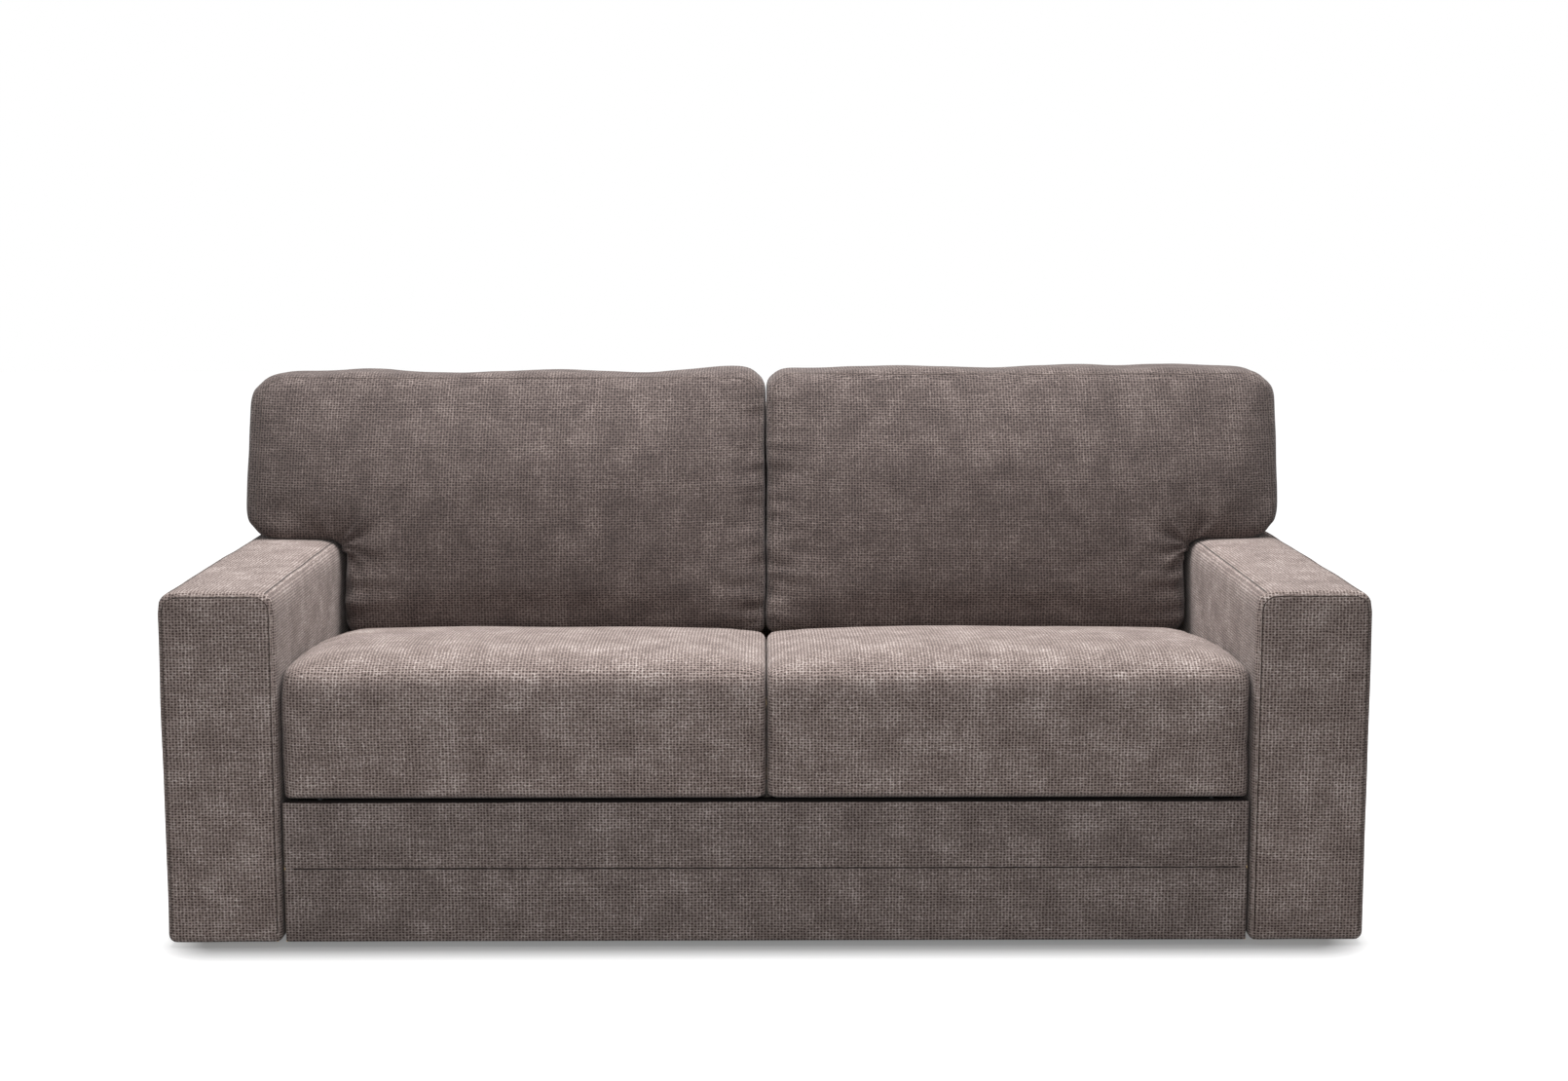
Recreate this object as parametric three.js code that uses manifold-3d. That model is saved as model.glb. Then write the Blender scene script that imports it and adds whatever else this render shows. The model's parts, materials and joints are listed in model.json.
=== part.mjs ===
// Two-seat sleeper sofa with T-shaped back cushions and a fold-out bed, closed.
// Millimetres. +X is to the right, +Y to the back, +Z up. The origin is on the floor under the centre.
// Most places are given as a depth behind the front plane and turned to Y by atDepth().

import * as THREE from 'three';
import { mergeVertices } from 'three/addons/utils/BufferGeometryUtils.js';
import Module from 'manifold-3d';

const wasm = await Module();
wasm.setup();

// Driving dimensions of the sofa

const sofaWidth = 1878;
const sofaDepth = 950;
const armWidth = 178;
const armHeight = 560;
const seatHeight = 466;
const seatDrop = 42;
const seatDepth = 532;
const backHeight = 792;
const cushionTop = 868;
const touchGap = 0.3;
const softGap = 2;

// Upholstered shells and their frames

const coverWall = 8;
const armEdgeRadius = 20;
const armHemRadius = 4;
const armBevelShare = 0.6;
const boardThickness = 18;
const studWidth = 30;
const backPanelDepth = 32;
const backTopDepth = 88;
const backFootDepth = 200;
const backUnderside = 420;

// Glides and cross rails that join the arms

const glideHeight = 8;
const glideRadius = 20;
const glideFootRadius = 18;
const glideInset = 70;
const crossRailWidth = 40;
const crossRailHeight = 18;
const crossRailLift = 12;
const frontCrossRailDepth = 62;
const rearCrossRailInset = 130;

// Bed: four platforms that fold round the front and up at the back

const platformThickness = 20;
const platformLift = 34;
const mattressThickness = 101.5;
const mattressInset = touchGap;
const foldDepth = 30;
const rearFoldInset = 50;
const footLength = 580;
const headLength = 266;
const cornerRelief = 16;
const kneeTopRelief = 38;
const foldClearance = 0.5;
const bedTravel = 640;
const bedRise = 180;

// Hinge plates and pins

const plateThickness = 5;
const plateEndRadius = 9;
const plateReach = 120;
const laneGap = 3;
const pinRadius = 4;
const pinOverrun = 3;
const pinClearance = 0.35;
const pinFacets = 20;

// Telescopic runners

const runnerWidth = 10;
const runnerHeight = 28;
const runnerGap = 0.5;
const runnerRearInset = 90;
const runnerFrontInset = 270;
const runnerRearLift = 64;
const runnerStandoff = 15;
const bracketWidth = 40;
const bracketStandoff = 19.7;
const frontBracketShare = 0.82;
const rearBracketShare = 0.1;

// Front panel

const panelBottom = 8;
const panelTop = 234;
const panelPadding = 8;
const panelBoard = 7.4;
const panelWrap = 1.8;
const panelSeamHeight = 120;
const panelSeamWidth = 4;
const panelSeamDepth = 2;
const panelSideGap = 4;
const battenInset = 40;

// Folding legs at the foot of the bed

const legRadius = 12;
const legInset = 65;
const legBehindFold = 552;
const legBracketWidth = 34;
const legBracketThickness = 4;
const legTipHeight = 10;
const legTipRadius = 15;

// Cushions

const seatCushionBottom = 239;
const seatCushionCrown = 14;
const seatCornerRadius = 42;
const cushionSideGap = 1.5;
const sideDrawIn = 5;
const backCushionThickness = 222;
const backCushionCrown = 24;
const backCushionLift = 404;
const earOverhang = 168;
const backCornerRadius = 48;
const innerEarCorner = 2;

// Values that follow from the driving dimensions

const frontY = -sofaDepth / 2;
const atDepth = (depth) => frontY + depth;
const innerHalfWidth = sofaWidth / 2 - armWidth;
const platformCentre = platformLift + platformThickness / 2;
const platformTop = platformLift + platformThickness;
const upperPlatformBottom = platformTop + 2 * mattressThickness + 4 * mattressInset;
const upperPlatformCentre = upperPlatformBottom + platformThickness / 2;
const upperPlatformTop = upperPlatformBottom + platformThickness;
const bodyRearDepth = sofaDepth - rearFoldInset;
const lowerMattressTop = platformTop + mattressInset + mattressThickness;
const upperMattressBottom = upperPlatformBottom - mattressInset - mattressThickness;
const travelLength = Math.hypot(bedTravel, bedRise);
const travelY = -bedTravel / travelLength;
const travelZ = bedRise / travelLength;
const runnerRearDepth = sofaDepth - runnerRearInset;
const runnerLength = runnerRearDepth - foldDepth - runnerFrontInset;
const outerRunnerLane = innerHalfWidth - bracketStandoff - runnerWidth;
const middleRunnerLane = outerRunnerLane - runnerGap - runnerWidth;
const innerRunnerLane = middleRunnerLane - runnerGap - runnerWidth;
const bodyLane = innerRunnerLane - runnerStandoff - plateThickness;
const linkLane = bodyLane + plateThickness + laneGap;
const bedHalf = bodyLane - touchGap;
const legAcross = bedHalf - legInset;
const legAxisZ = upperPlatformTop + legRadius + legBracketThickness + 2 * touchGap;
const legStandoff = legAxisZ - upperPlatformCentre;
const legReach = platformCentre + bedRise - legStandoff;

// Materials

const finish = (color, roughness, metalness = 0) => new THREE.MeshStandardMaterial({ color, roughness, metalness });
const materials = {
  fabric: finish(0x6f625c, 0.95),
  ticking: finish(0xd8d2c6, 0.9),
  birchPly: finish(0xc9a878, 0.7),
  pine: finish(0xd2b27c, 0.75),
  steel: finish(0x3a3c3f, 0.45, 0.8),
  zinc: finish(0x9c9fa3, 0.35, 1),
  glide: finish(0x1d1c1b, 0.5),
};

const sofa = new THREE.Group();
sofa.name = 'sleeper_sofa';

function add(name, geometry, material) {
  const mesh = new THREE.Mesh(geometry, material);
  mesh.name = name;
  sofa.add(mesh);
  return mesh;
}

// Geometry helpers

function tidy(geometry) {
  const bare = geometry.clone();
  bare.deleteAttribute('normal');
  bare.deleteAttribute('uv');
  return mergeVertices(bare, 1e-4);
}

function toSolid(geometry) {
  const merged = tidy(geometry);
  return new wasm.Manifold(new wasm.Mesh({
    numProp: 3,
    vertProperties: new Float32Array(merged.attributes.position.array),
    triVerts: new Uint32Array(merged.index.array),
  }));
}

function toGeometry(solid) {
  const mesh = solid.getMesh();
  const geometry = new THREE.BufferGeometry();
  geometry.setAttribute('position', new THREE.BufferAttribute(new Float32Array(mesh.vertProperties), 3));
  geometry.setIndex(new THREE.BufferAttribute(new Uint32Array(mesh.triVerts), 1));
  return geometry;
}

const cut = (whole, ...tools) => toGeometry(tools.reduce((rest, tool) => rest.subtract(toSolid(tool)), toSolid(whole)));
const join = (first, ...others) => toGeometry(others.reduce((sum, other) => sum.add(toSolid(other)), toSolid(first)));

// A block between two corners, given as X, depth and Z.
function block([x0, x1], [depth0, depth1], [z0, z1]) {
  const geometry = new THREE.BoxGeometry(x1 - x0, depth1 - depth0, z1 - z0);
  return geometry.translate((x0 + x1) / 2, atDepth((depth0 + depth1) / 2), (z0 + z1) / 2);
}

// A side profile of [depth, z] points, run from x0 to x1.
function sideProfile(points, x0, x1, holes = []) {
  const shape = new THREE.Shape(points.map(([depth, z]) => new THREE.Vector2(atDepth(depth), z)));
  holes.forEach((hole) => shape.holes.push(hole));
  const geometry = new THREE.ExtrudeGeometry(shape, { depth: x1 - x0, bevelEnabled: false });
  const axes = new THREE.Matrix4().set(0, 0, 1, x0, 1, 0, 0, 0, 0, 1, 0, 0, 0, 0, 0, 1);
  return geometry.applyMatrix4(axes);
}

function circle(depth, z, radius, facets = pinFacets) {
  return Array.from({ length: facets }, (_, i) => {
    const angle = (2 * Math.PI * i) / facets;
    return [depth + radius * Math.cos(angle), z + radius * Math.sin(angle)];
  });
}

function roundHole(depth, z, radius) {
  const points = circle(depth, z, radius).reverse();
  return new THREE.Path(points.map(([d, h]) => new THREE.Vector2(atDepth(d), h)));
}

// Mirror in X, with the faces turned back outwards.
function mirrored(geometry) {
  const copy = tidy(geometry);
  copy.scale(-1, 1, 1);
  const index = copy.index.array;
  for (let i = 0; i < index.length; i += 3) {
    [index[i], index[i + 1]] = [index[i + 1], index[i]];
  }
  return copy;
}

function addPair(stem, geometry, material) {
  add(`${stem}_right`, geometry, material);
  add(`${stem}_left`, mirrored(geometry), material);
}

// Arms: a padded cover, open underneath, over a boarded frame on two glides

function roundedUpright(halfWidth, bottom, top, edgeRadius, hemRadius) {
  const shape = new THREE.Shape();
  shape.moveTo(-halfWidth + hemRadius, bottom);
  shape.lineTo(halfWidth - hemRadius, bottom);
  shape.absarc(halfWidth - hemRadius, bottom + hemRadius, hemRadius, -Math.PI / 2, 0);
  shape.lineTo(halfWidth, top - edgeRadius);
  shape.absarc(halfWidth - edgeRadius, top - edgeRadius, edgeRadius, 0, Math.PI / 2);
  shape.lineTo(-halfWidth + edgeRadius, top);
  shape.absarc(-halfWidth + edgeRadius, top - edgeRadius, edgeRadius, Math.PI / 2, Math.PI);
  shape.lineTo(-halfWidth, bottom + hemRadius);
  shape.absarc(-halfWidth + hemRadius, bottom + hemRadius, hemRadius, Math.PI, 1.5 * Math.PI);
  return shape;
}

function armCover() {
  const bevel = armEdgeRadius * armBevelShare;
  const shape = roundedUpright(armWidth / 2 - bevel, glideHeight + bevel, armHeight - bevel, armEdgeRadius, armHemRadius);
  const outer = new THREE.ExtrudeGeometry(shape, {
    depth: sofaDepth - 2 * bevel,
    bevelThickness: bevel,
    bevelSize: bevel,
    bevelSegments: 4,
    curveSegments: 5,
  });
  const armCentre = sofaWidth / 2 - armWidth / 2;
  outer.rotateX(Math.PI / 2).translate(armCentre, -frontY - bevel, 0);
  const hollow = block(
    [innerHalfWidth + coverWall, sofaWidth / 2 - coverWall],
    [coverWall, sofaDepth - coverWall],
    [0, armHeight - coverWall],
  );
  return cut(outer, hollow);
}

function armFrame() {
  const inner = innerHalfWidth + coverWall + touchGap;
  const outer = sofaWidth / 2 - coverWall - touchGap;
  const front = coverWall + touchGap;
  const rear = sofaDepth - coverWall - touchGap;
  const bottom = glideHeight + touchGap;
  const top = armHeight - coverWall - touchGap;
  const boardTop = top - boardThickness;
  return join(
    block([inner, inner + boardThickness], [front, rear], [bottom, top]),
    block([outer - boardThickness, outer], [front, rear], [bottom, top]),
    block([inner, outer], [front, rear], [boardTop, top]),
    block([inner, outer], [front, front + studWidth], [bottom, top]),
    block([inner, outer], [rear - studWidth, rear], [bottom, top]),
  );
}

function armGlide(depth) {
  const glide = new THREE.CylinderGeometry(glideRadius, glideFootRadius, glideHeight, 28);
  glide.rotateX(Math.PI / 2);
  const across = innerHalfWidth + coverWall + boardThickness + glideRadius / 2;
  return glide.translate(across, atDepth(depth), glideHeight / 2);
}

addPair('arm_cover', armCover(), materials.fabric);
addPair('arm_frame', armFrame(), materials.pine);
addPair('front_glide', armGlide(glideInset), materials.glide);
addPair('rear_glide', armGlide(sofaDepth - glideInset), materials.glide);

// Back: one cover over a lower board, studs and rails; the folded head of the bed stands under it

const backSlope = (backFootDepth - backTopDepth) / (backHeight - backUnderside);
const backFrontDepth = (z) => sofaDepth - backFootDepth + (z - backUnderside) * backSlope;

function backWedge(shrink, low, lowerFront, underside) {
  const rear = sofaDepth - shrink;
  const top = backHeight - shrink;
  const frontAt = (z) => backFrontDepth(z) + shrink * Math.hypot(1, backSlope);
  return [
    [rear, low],
    [rear, top],
    [frontAt(top), top],
    [frontAt(underside), underside],
    [lowerFront, underside],
    [lowerFront, low],
  ];
}

function backTopBand(shrink, low) {
  return backWedge(shrink, low, sofaDepth - shrink, low).slice(1, 4).concat([[sofaDepth - shrink, low]]);
}

function backCover() {
  const half = innerHalfWidth - touchGap;
  const topHalf = sofaWidth / 2 - armEdgeRadius / 2;
  const bandLow = armHeight + touchGap;
  const lowerFront = sofaDepth - backPanelDepth;
  const outer = join(
    sideProfile(backWedge(0, glideHeight, lowerFront, backUnderside), -half, half),
    sideProfile(backTopBand(0, bandLow), -topHalf, topHalf),
  );
  const innerUnderside = backUnderside + coverWall;
  const inner = join(
    sideProfile(backWedge(coverWall, 0, lowerFront + coverWall, innerUnderside), -half + coverWall, half - coverWall),
    sideProfile(backTopBand(coverWall, bandLow + coverWall), -topHalf + coverWall, topHalf - coverWall),
  );
  return cut(outer, inner);
}

function backFrame() {
  const shrink = coverWall + touchGap;
  const low = backUnderside + shrink;
  const high = backHeight - shrink;
  const frontAt = (z) => backFrontDepth(z) + shrink * Math.hypot(1, backSlope);
  const rear = sofaDepth - shrink;
  const outline = [[rear, low], [rear, high], [frontAt(high), high], [frontAt(low), low]];
  const reach = innerHalfWidth - touchGap - shrink - studWidth / 2;
  const studs = [-1, -1 / 3, 1 / 3, 1].map((share) => {
    const x = share * reach;
    return sideProfile(outline, x - studWidth / 2, x + studWidth / 2);
  });
  return join(backRail(low), backRail(high - boardThickness), ...studs);
}

function backRail(low) {
  const shrink = coverWall + touchGap;
  const high = low + boardThickness;
  const frontDepth = backFrontDepth(high) + shrink * Math.hypot(1, backSlope);
  const half = innerHalfWidth - touchGap - shrink;
  return block([-half, half], [frontDepth, sofaDepth - shrink], [low, high]);
}

function backLowerBoard() {
  const half = innerHalfWidth - coverWall - 2 * touchGap;
  const front = sofaDepth - backPanelDepth + coverWall + touchGap;
  const top = backUnderside + coverWall - touchGap;
  return block([-half, half], [front, sofaDepth - coverWall - touchGap], [glideHeight + touchGap, top]);
}

add('back_cover', backCover(), materials.fabric);
add('back_frame', backFrame(), materials.pine);
add('back_lower_board', backLowerBoard(), materials.birchPly);

// Steel cross rails between the arms, under the bed

function crossRail(depth) {
  const half = innerHalfWidth - touchGap;
  return block([-half, half], [depth, depth + crossRailWidth], [crossRailLift, crossRailLift + crossRailHeight]);
}

add('front_cross_rail', crossRail(frontCrossRailDepth), materials.steel);
add('rear_cross_rail', crossRail(sofaDepth - rearCrossRailInset), materials.steel);

// Telescopic runners, which climb to the front

const runnerPoint = (share, across = 0) => [
  runnerRearDepth + share * runnerLength * travelY - across * travelZ,
  runnerRearLift + share * runnerLength * travelZ + across * travelY,
];

function runner(lane) {
  const half = runnerHeight / 2;
  const outline = [runnerPoint(0, half), runnerPoint(1, half), runnerPoint(1, -half), runnerPoint(0, -half)];
  return sideProfile(outline, lane, lane + runnerWidth);
}

function runnerGusset() {
  const rear = runnerPoint(rearBracketShare);
  const front = runnerPoint(frontBracketShare);
  const outline = [[rear[0], platformLift], rear, front, [front[0], platformLift]];
  return sideProfile(outline, bodyLane + plateThickness + touchGap, innerRunnerLane - touchGap);
}

function outerRunnerBracket(share) {
  const [depth, z] = runnerPoint(share);
  const x0 = outerRunnerLane + runnerWidth + touchGap;
  const half = bracketWidth / 2;
  return block([x0, innerHalfWidth - touchGap], [depth - half, depth + half], [z - half / 2, z + half / 2]);
}

addPair('outer_runner', runner(outerRunnerLane), materials.zinc);
addPair('middle_runner', runner(middleRunnerLane), materials.zinc);
addPair('inner_runner', runner(innerRunnerLane), materials.zinc);
addPair('rear_runner_bracket', outerRunnerBracket(rearBracketShare), materials.steel);
addPair('front_runner_bracket', outerRunnerBracket(frontBracketShare), materials.steel);
addPair('runner_gusset', runnerGusset(), materials.birchPly);

// Bed platforms and mattress pads. Each pad's folded ends are mitred so that it clears its neighbour.

const linkHalf = linkLane - touchGap;
const padHalf = bedHalf - softGap;
const platformHalf = platformThickness / 2;
const kneeInner = foldDepth + platformHalf + mattressInset;
const kneePadTop = kneeInner + mattressThickness;
const headInner = bodyRearDepth - platformHalf - mattressInset;
const headPadTop = headInner - mattressThickness;
const headTop = platformCentre + headLength;
const mitre = softGap;
const lipClear = foldDepth + upperPlatformCentre - seatCushionBottom + softGap;

const bodyPad = [
  [kneeInner + mitre, platformTop + mattressInset],
  [headInner - mitre, platformTop + mattressInset],
  [headPadTop - mitre, lowerMattressTop],
  [kneePadTop + mitre, lowerMattressTop],
];
const kneePad = [
  [kneeInner, platformTop + mattressInset + mitre],
  [kneePadTop - mitre, lowerMattressTop],
  [kneePadTop - mitre, upperMattressBottom],
  [lipClear, upperPlatformBottom - mattressInset - mitre - (lipClear - kneeInner)],
  [lipClear, upperPlatformCentre - kneeTopRelief],
  [kneeInner, upperPlatformCentre - kneeTopRelief],
];
const footPad = [
  [kneePadTop + mitre, upperMattressBottom],
  [foldDepth + footLength, upperMattressBottom],
  [foldDepth + footLength, upperPlatformBottom - mattressInset],
  [kneeInner + mitre, upperPlatformBottom - mattressInset],
];
const headPad = [
  [headInner, platformTop + mattressInset + mitre],
  [headInner, headTop],
  [headPadTop, headTop],
  [headPadTop, lowerMattressTop + mitre],
];

const bodyFront = foldDepth + cornerRelief;
const bodyRear = bodyRearDepth - cornerRelief;
const bodyPlatform = block([-bedHalf, bedHalf], [bodyFront, bodyRear], [platformLift, platformTop]);
const footPlatform = block(
  [-bedHalf, bedHalf],
  [bodyFront, foldDepth + footLength],
  [upperPlatformBottom, upperPlatformTop],
);
const kneePlatform = block(
  [-linkHalf, linkHalf],
  [foldDepth - platformHalf, foldDepth + platformHalf],
  [platformCentre + cornerRelief, upperPlatformCentre - kneeTopRelief],
);
const headPlatform = block(
  [-linkHalf, linkHalf],
  [bodyRearDepth - platformHalf, bodyRearDepth + platformHalf],
  [platformCentre + cornerRelief, headTop],
);

add('body_platform', bodyPlatform, materials.birchPly);
add('knee_platform', kneePlatform, materials.birchPly);
add('foot_platform', footPlatform, materials.birchPly);
add('head_platform', headPlatform, materials.birchPly);
add('body_mattress', sideProfile(bodyPad, -padHalf, padHalf), materials.ticking);
add('knee_mattress', sideProfile(kneePad, -padHalf, padHalf), materials.ticking);
add('foot_mattress', sideProfile(footPad, -padHalf, padHalf), materials.ticking);
add('head_mattress', sideProfile(headPad, -padHalf, padHalf), materials.ticking);

// Steel side plates with the hinge pins. Body and foot plates share one lane, knee and head plates the other.

function roundedPlate(from, to, lane, holed) {
  const direction = new THREE.Vector2(to[0] - from[0], to[1] - from[1]).normalize();
  const start = Math.atan2(direction.y, direction.x) + Math.PI / 2;
  const half = pinFacets / 2;
  const arc = (centre, begin) => Array.from({ length: half + 1 }, (_, i) => {
    const angle = begin + (Math.PI * i) / half;
    return [centre[0] + plateEndRadius * Math.cos(angle), centre[1] + plateEndRadius * Math.sin(angle)];
  });
  const outline = [...arc(from, start), ...arc(to, start + Math.PI)];
  const holes = holed.map(([depth, z]) => roundHole(depth, z, pinRadius + pinClearance));
  return sideProfile(outline, lane, lane + plateThickness, holes);
}

function pin(depth, z) {
  return sideProfile(circle(depth, z, pinRadius), bodyLane - pinOverrun + touchGap, linkLane + plateThickness + pinOverrun);
}

const lowerFold = [foldDepth, platformCentre];
const upperFold = [foldDepth, upperPlatformCentre];
const rearFold = [bodyRearDepth, platformCentre];

addPair('body_side_plate', roundedPlate(lowerFold, rearFold, bodyLane, [lowerFold, rearFold]), materials.steel);
addPair('knee_side_plate', roundedPlate(lowerFold, upperFold, linkLane, [lowerFold, upperFold]), materials.steel);
addPair(
  'foot_side_plate',
  roundedPlate(upperFold, [foldDepth + footLength - plateEndRadius, upperPlatformCentre], bodyLane, [upperFold]),
  materials.steel,
);
addPair(
  'head_side_plate',
  roundedPlate(rearFold, [bodyRearDepth, platformCentre + plateReach], linkLane, [rearFold]),
  materials.steel,
);
addPair('fold_pin', pin(...lowerFold), materials.zinc);
addPair('head_pin', pin(...rearFold), materials.zinc);
addPair('foot_pin', pin(...upperFold), materials.zinc);

// Front panel on the knee platform: a board and a padded cover with one seam across

const kneeTop = upperPlatformCentre - kneeTopRelief;
const panelRear = panelPadding + touchGap + panelBoard;

// The cover also wraps back over the top edges of the board and the knee platform.
function panelCover() {
  const half = innerHalfWidth - panelSideGap;
  const seam = block(
    [-half - panelSeamWidth, half + panelSeamWidth],
    [-panelSeamWidth, panelSeamDepth],
    [panelSeamHeight - panelSeamWidth / 2, panelSeamHeight + panelSeamWidth / 2],
  );
  const wrap = [kneeTop + touchGap, kneeTop + touchGap + panelWrap];
  const whole = join(
    block([-half, half], [0, panelPadding], [panelBottom, panelTop]),
    block([-half, half], [0, panelRear], wrap),
    block([-linkHalf, linkHalf], [0, foldDepth + platformHalf], wrap),
  );
  return cut(whole, seam);
}

const panelHalf = innerHalfWidth - panelSideGap;
add('front_panel_cover', panelCover(), materials.fabric);
add(
  'front_panel_board',
  block([-panelHalf, panelHalf], [panelPadding + touchGap, panelRear], [panelBottom, kneeTop]),
  materials.birchPly,
);
const battenHalf = bedHalf - battenInset;
const spacerGap = [panelRear + touchGap, foldDepth - platformHalf - touchGap];
add(
  'front_panel_batten',
  block([-battenHalf, battenHalf], spacerGap, [platformTop + cornerRelief, kneeTop - cornerRelief]),
  materials.pine,
);

// Folding legs, which lie on the foot platform behind the seat cushions

function leg() {
  const tube = new THREE.CylinderGeometry(legRadius, legRadius, legReach - legTipHeight, 20);
  tube.rotateZ(Math.PI / 2);
  return tube.translate(legAcross - (legReach - legTipHeight) / 2, atDepth(foldDepth + legBehindFold), legAxisZ);
}

function legTip() {
  const tip = new THREE.CylinderGeometry(legTipRadius, legTipRadius, legTipHeight - touchGap, 20);
  tip.rotateZ(Math.PI / 2);
  const x = legAcross - legReach + (legTipHeight - touchGap) / 2;
  return tip.translate(x, atDepth(foldDepth + legBehindFold), legAxisZ);
}

function legBracket() {
  const bottom = upperPlatformTop + touchGap;
  const depth = foldDepth + legBehindFold;
  const x = [legAcross - legBracketWidth / 2, legAcross + legBracketWidth / 2];
  const near = legRadius + touchGap;
  const far = near + legBracketThickness;
  const top = legAxisZ + legRadius / 2;
  return join(
    block(x, [depth - far, depth + far], [bottom, bottom + legBracketThickness]),
    block(x, [depth - far, depth - near], [bottom, top]),
    block(x, [depth + near, depth + far], [bottom, top]),
  );
}

addPair('leg', leg(), materials.steel);
addPair('leg_tip', legTip(), materials.glide);
addPair('leg_bracket', legBracket(), materials.zinc);

// Cushions: an outline drawn in towards a centre, with a crowned face and a bowed border

function sampleOutline(corners, radii, count, drawIn) {
  const path = new THREE.Shape();
  const size = corners.length;
  corners.forEach((corner, i) => {
    const before = corners[(i + size - 1) % size];
    const after = corners[(i + 1) % size];
    const start = corner.clone().add(before.clone().sub(corner).setLength(radii[i]));
    const end = corner.clone().add(after.clone().sub(corner).setLength(radii[i]));
    if (i === 0) {
      path.moveTo(start.x, start.y);
    } else {
      path.lineTo(start.x, start.y);
    }
    path.quadraticCurveTo(corner.x, corner.y, end.x, end.y);
  });
  path.closePath();
  const points = path.getSpacedPoints(count).slice(0, count);
  const centre = corners.reduce((sum, corner) => sum.add(corner), new THREE.Vector2()).divideScalar(size);
  const reach = Math.max(...corners.map((corner) => corner.distanceTo(centre)));
  return points.map((point) => {
    const inward = centre.clone().sub(point);
    const bow = drawIn * Math.max(0, 1 - inward.length() / reach) * 2;
    return point.add(inward.setLength(bow));
  });
}

const cushionPoints = 84;
const crownedLift = 0.95;

// Rings as [share of the outline, share of the thickness], from the middle of the lower face to that of the upper.
const cushionRingShares = [
  [0.5, 0], [0.84, 0], [0.94, 0.02], [0.985, 0.09], [1, 0.2], [0.992, 0.5],
  [1, 0.8], [0.985, 0.91], [0.94, 0.965], [0.84, 0.985], [0.6, 1], [0.3, 1],
];

function cushion(outline, centre, thickness, crown, place) {
  const positions = [];
  const count = outline.length;
  const push = (share, lift, point) => {
    const u = centre.x + (point.x - centre.x) * share;
    const v = centre.y + (point.y - centre.y) * share;
    const swell = lift > crownedLift ? crown * (1 - share * share) : 0;
    positions.push(...place(u, v, lift * thickness + swell));
  };
  push(0, 0, centre);
  cushionRingShares.forEach(([share, lift]) => outline.forEach((point) => push(share, lift, point)));
  push(0, 1, centre);
  const last = positions.length / 3 - 1;
  const index = [];
  const rings = cushionRingShares.length;
  for (let i = 0; i < count; i += 1) {
    const next = (i + 1) % count;
    index.push(0, 1 + next, 1 + i);
    for (let ring = 0; ring < rings - 1; ring += 1) {
      const a = 1 + ring * count;
      const b = a + count;
      index.push(a + i, a + next, b + next, a + i, b + next, b + i);
    }
    const top = 1 + (rings - 1) * count;
    index.push(top + i, top + next, last);
  }
  const geometry = new THREE.BufferGeometry();
  geometry.setAttribute('position', new THREE.Float32BufferAttribute(positions, 3));
  geometry.setIndex(index);
  return geometry;
}


// All of the cushion's lower front edge stays nearer to the front fold's axis than the knee's covered top does.
function frontRoundTool() {
  const radius = kneeTopRelief - touchGap - panelWrap - foldClearance;
  const arc = Array.from({ length: pinFacets }, (_, i) => {
    const angle = Math.PI + (Math.PI / 2) * (i / (pinFacets - 1));
    return [foldDepth + radius * Math.cos(angle), upperPlatformCentre + radius * Math.sin(angle)];
  });
  const outside = foldDepth - 2 * radius;
  const outline = [[outside, upperPlatformCentre], ...arc, [foldDepth, 0], [outside, 0]];
  return sideProfile(outline, -sofaWidth, sofaWidth);
}

function seatCushion() {
  const x0 = cushionSideGap;
  const x1 = innerHalfWidth - cushionSideGap;
  const corners = [[x0, 0], [x1, 0], [x1, seatDepth], [x0, seatDepth]].map(([x, d]) => new THREE.Vector2(x, atDepth(d)));
  const outline = sampleOutline(corners, corners.map(() => seatCornerRadius), cushionPoints, sideDrawIn);
  const centre = new THREE.Vector2((x0 + x1) / 2, atDepth(seatDepth / 2));
  const thickness = seatHeight - seatCushionCrown - seatCushionBottom;
  const solid = cushion(outline, centre, thickness, seatCushionCrown, (x, y, lift) => {
    const share = (y - frontY) / seatDepth;
    return [x, y, seatCushionBottom + lift * (1 - (seatDrop / thickness) * share * share)];
  });
  const recess = block(
    [-sofaWidth, sofaWidth],
    [foldDepth - platformHalf - softGap, sofaDepth],
    [0, upperPlatformTop + touchGap],
  );
  const plateSlot = block(
    [linkLane - softGap / 2, linkLane + plateThickness + softGap / 2],
    [-seatDepth, foldDepth],
    [0, upperPlatformTop + touchGap],
  );
  return cut(solid, recess, plateSlot, frontRoundTool());
}

// The back cushion leans on the slope of the back: each of its level slices moves back as the slope does.
function backCushion() {
  const stretch = Math.hypot(1, backSlope);
  const x0 = cushionSideGap;
  const x1 = innerHalfWidth - cushionSideGap;
  const x2 = innerHalfWidth + earOverhang;
  const earBottom = armHeight + touchGap;
  const corners = [
    [x0, backCushionLift], [x1, backCushionLift], [x1, earBottom], [x2, earBottom], [x2, cushionTop], [x0, cushionTop],
  ].map(([x, z]) => new THREE.Vector2(x, z));
  const radii = corners.map((_, i) => (i === innerEarCorner ? armEdgeRadius / 2 : backCornerRadius));
  const outline = sampleOutline(corners, radii, cushionPoints, sideDrawIn);
  const centre = new THREE.Vector2((x0 + x1) / 2, (earBottom + cushionTop) / 2);
  const thickness = backCushionThickness - backCushionCrown;
  return cushion(outline, centre, thickness, backCushionCrown, (x, z, lift) => {
    const depth = backFrontDepth(z) - (touchGap + lift) * stretch;
    return [x, atDepth(depth), z];
  });
}

addPair('seat_cushion', seatCushion(), materials.fabric);
addPair('back_cushion', backCushion(), materials.fabric);

export default sofa;
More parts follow.
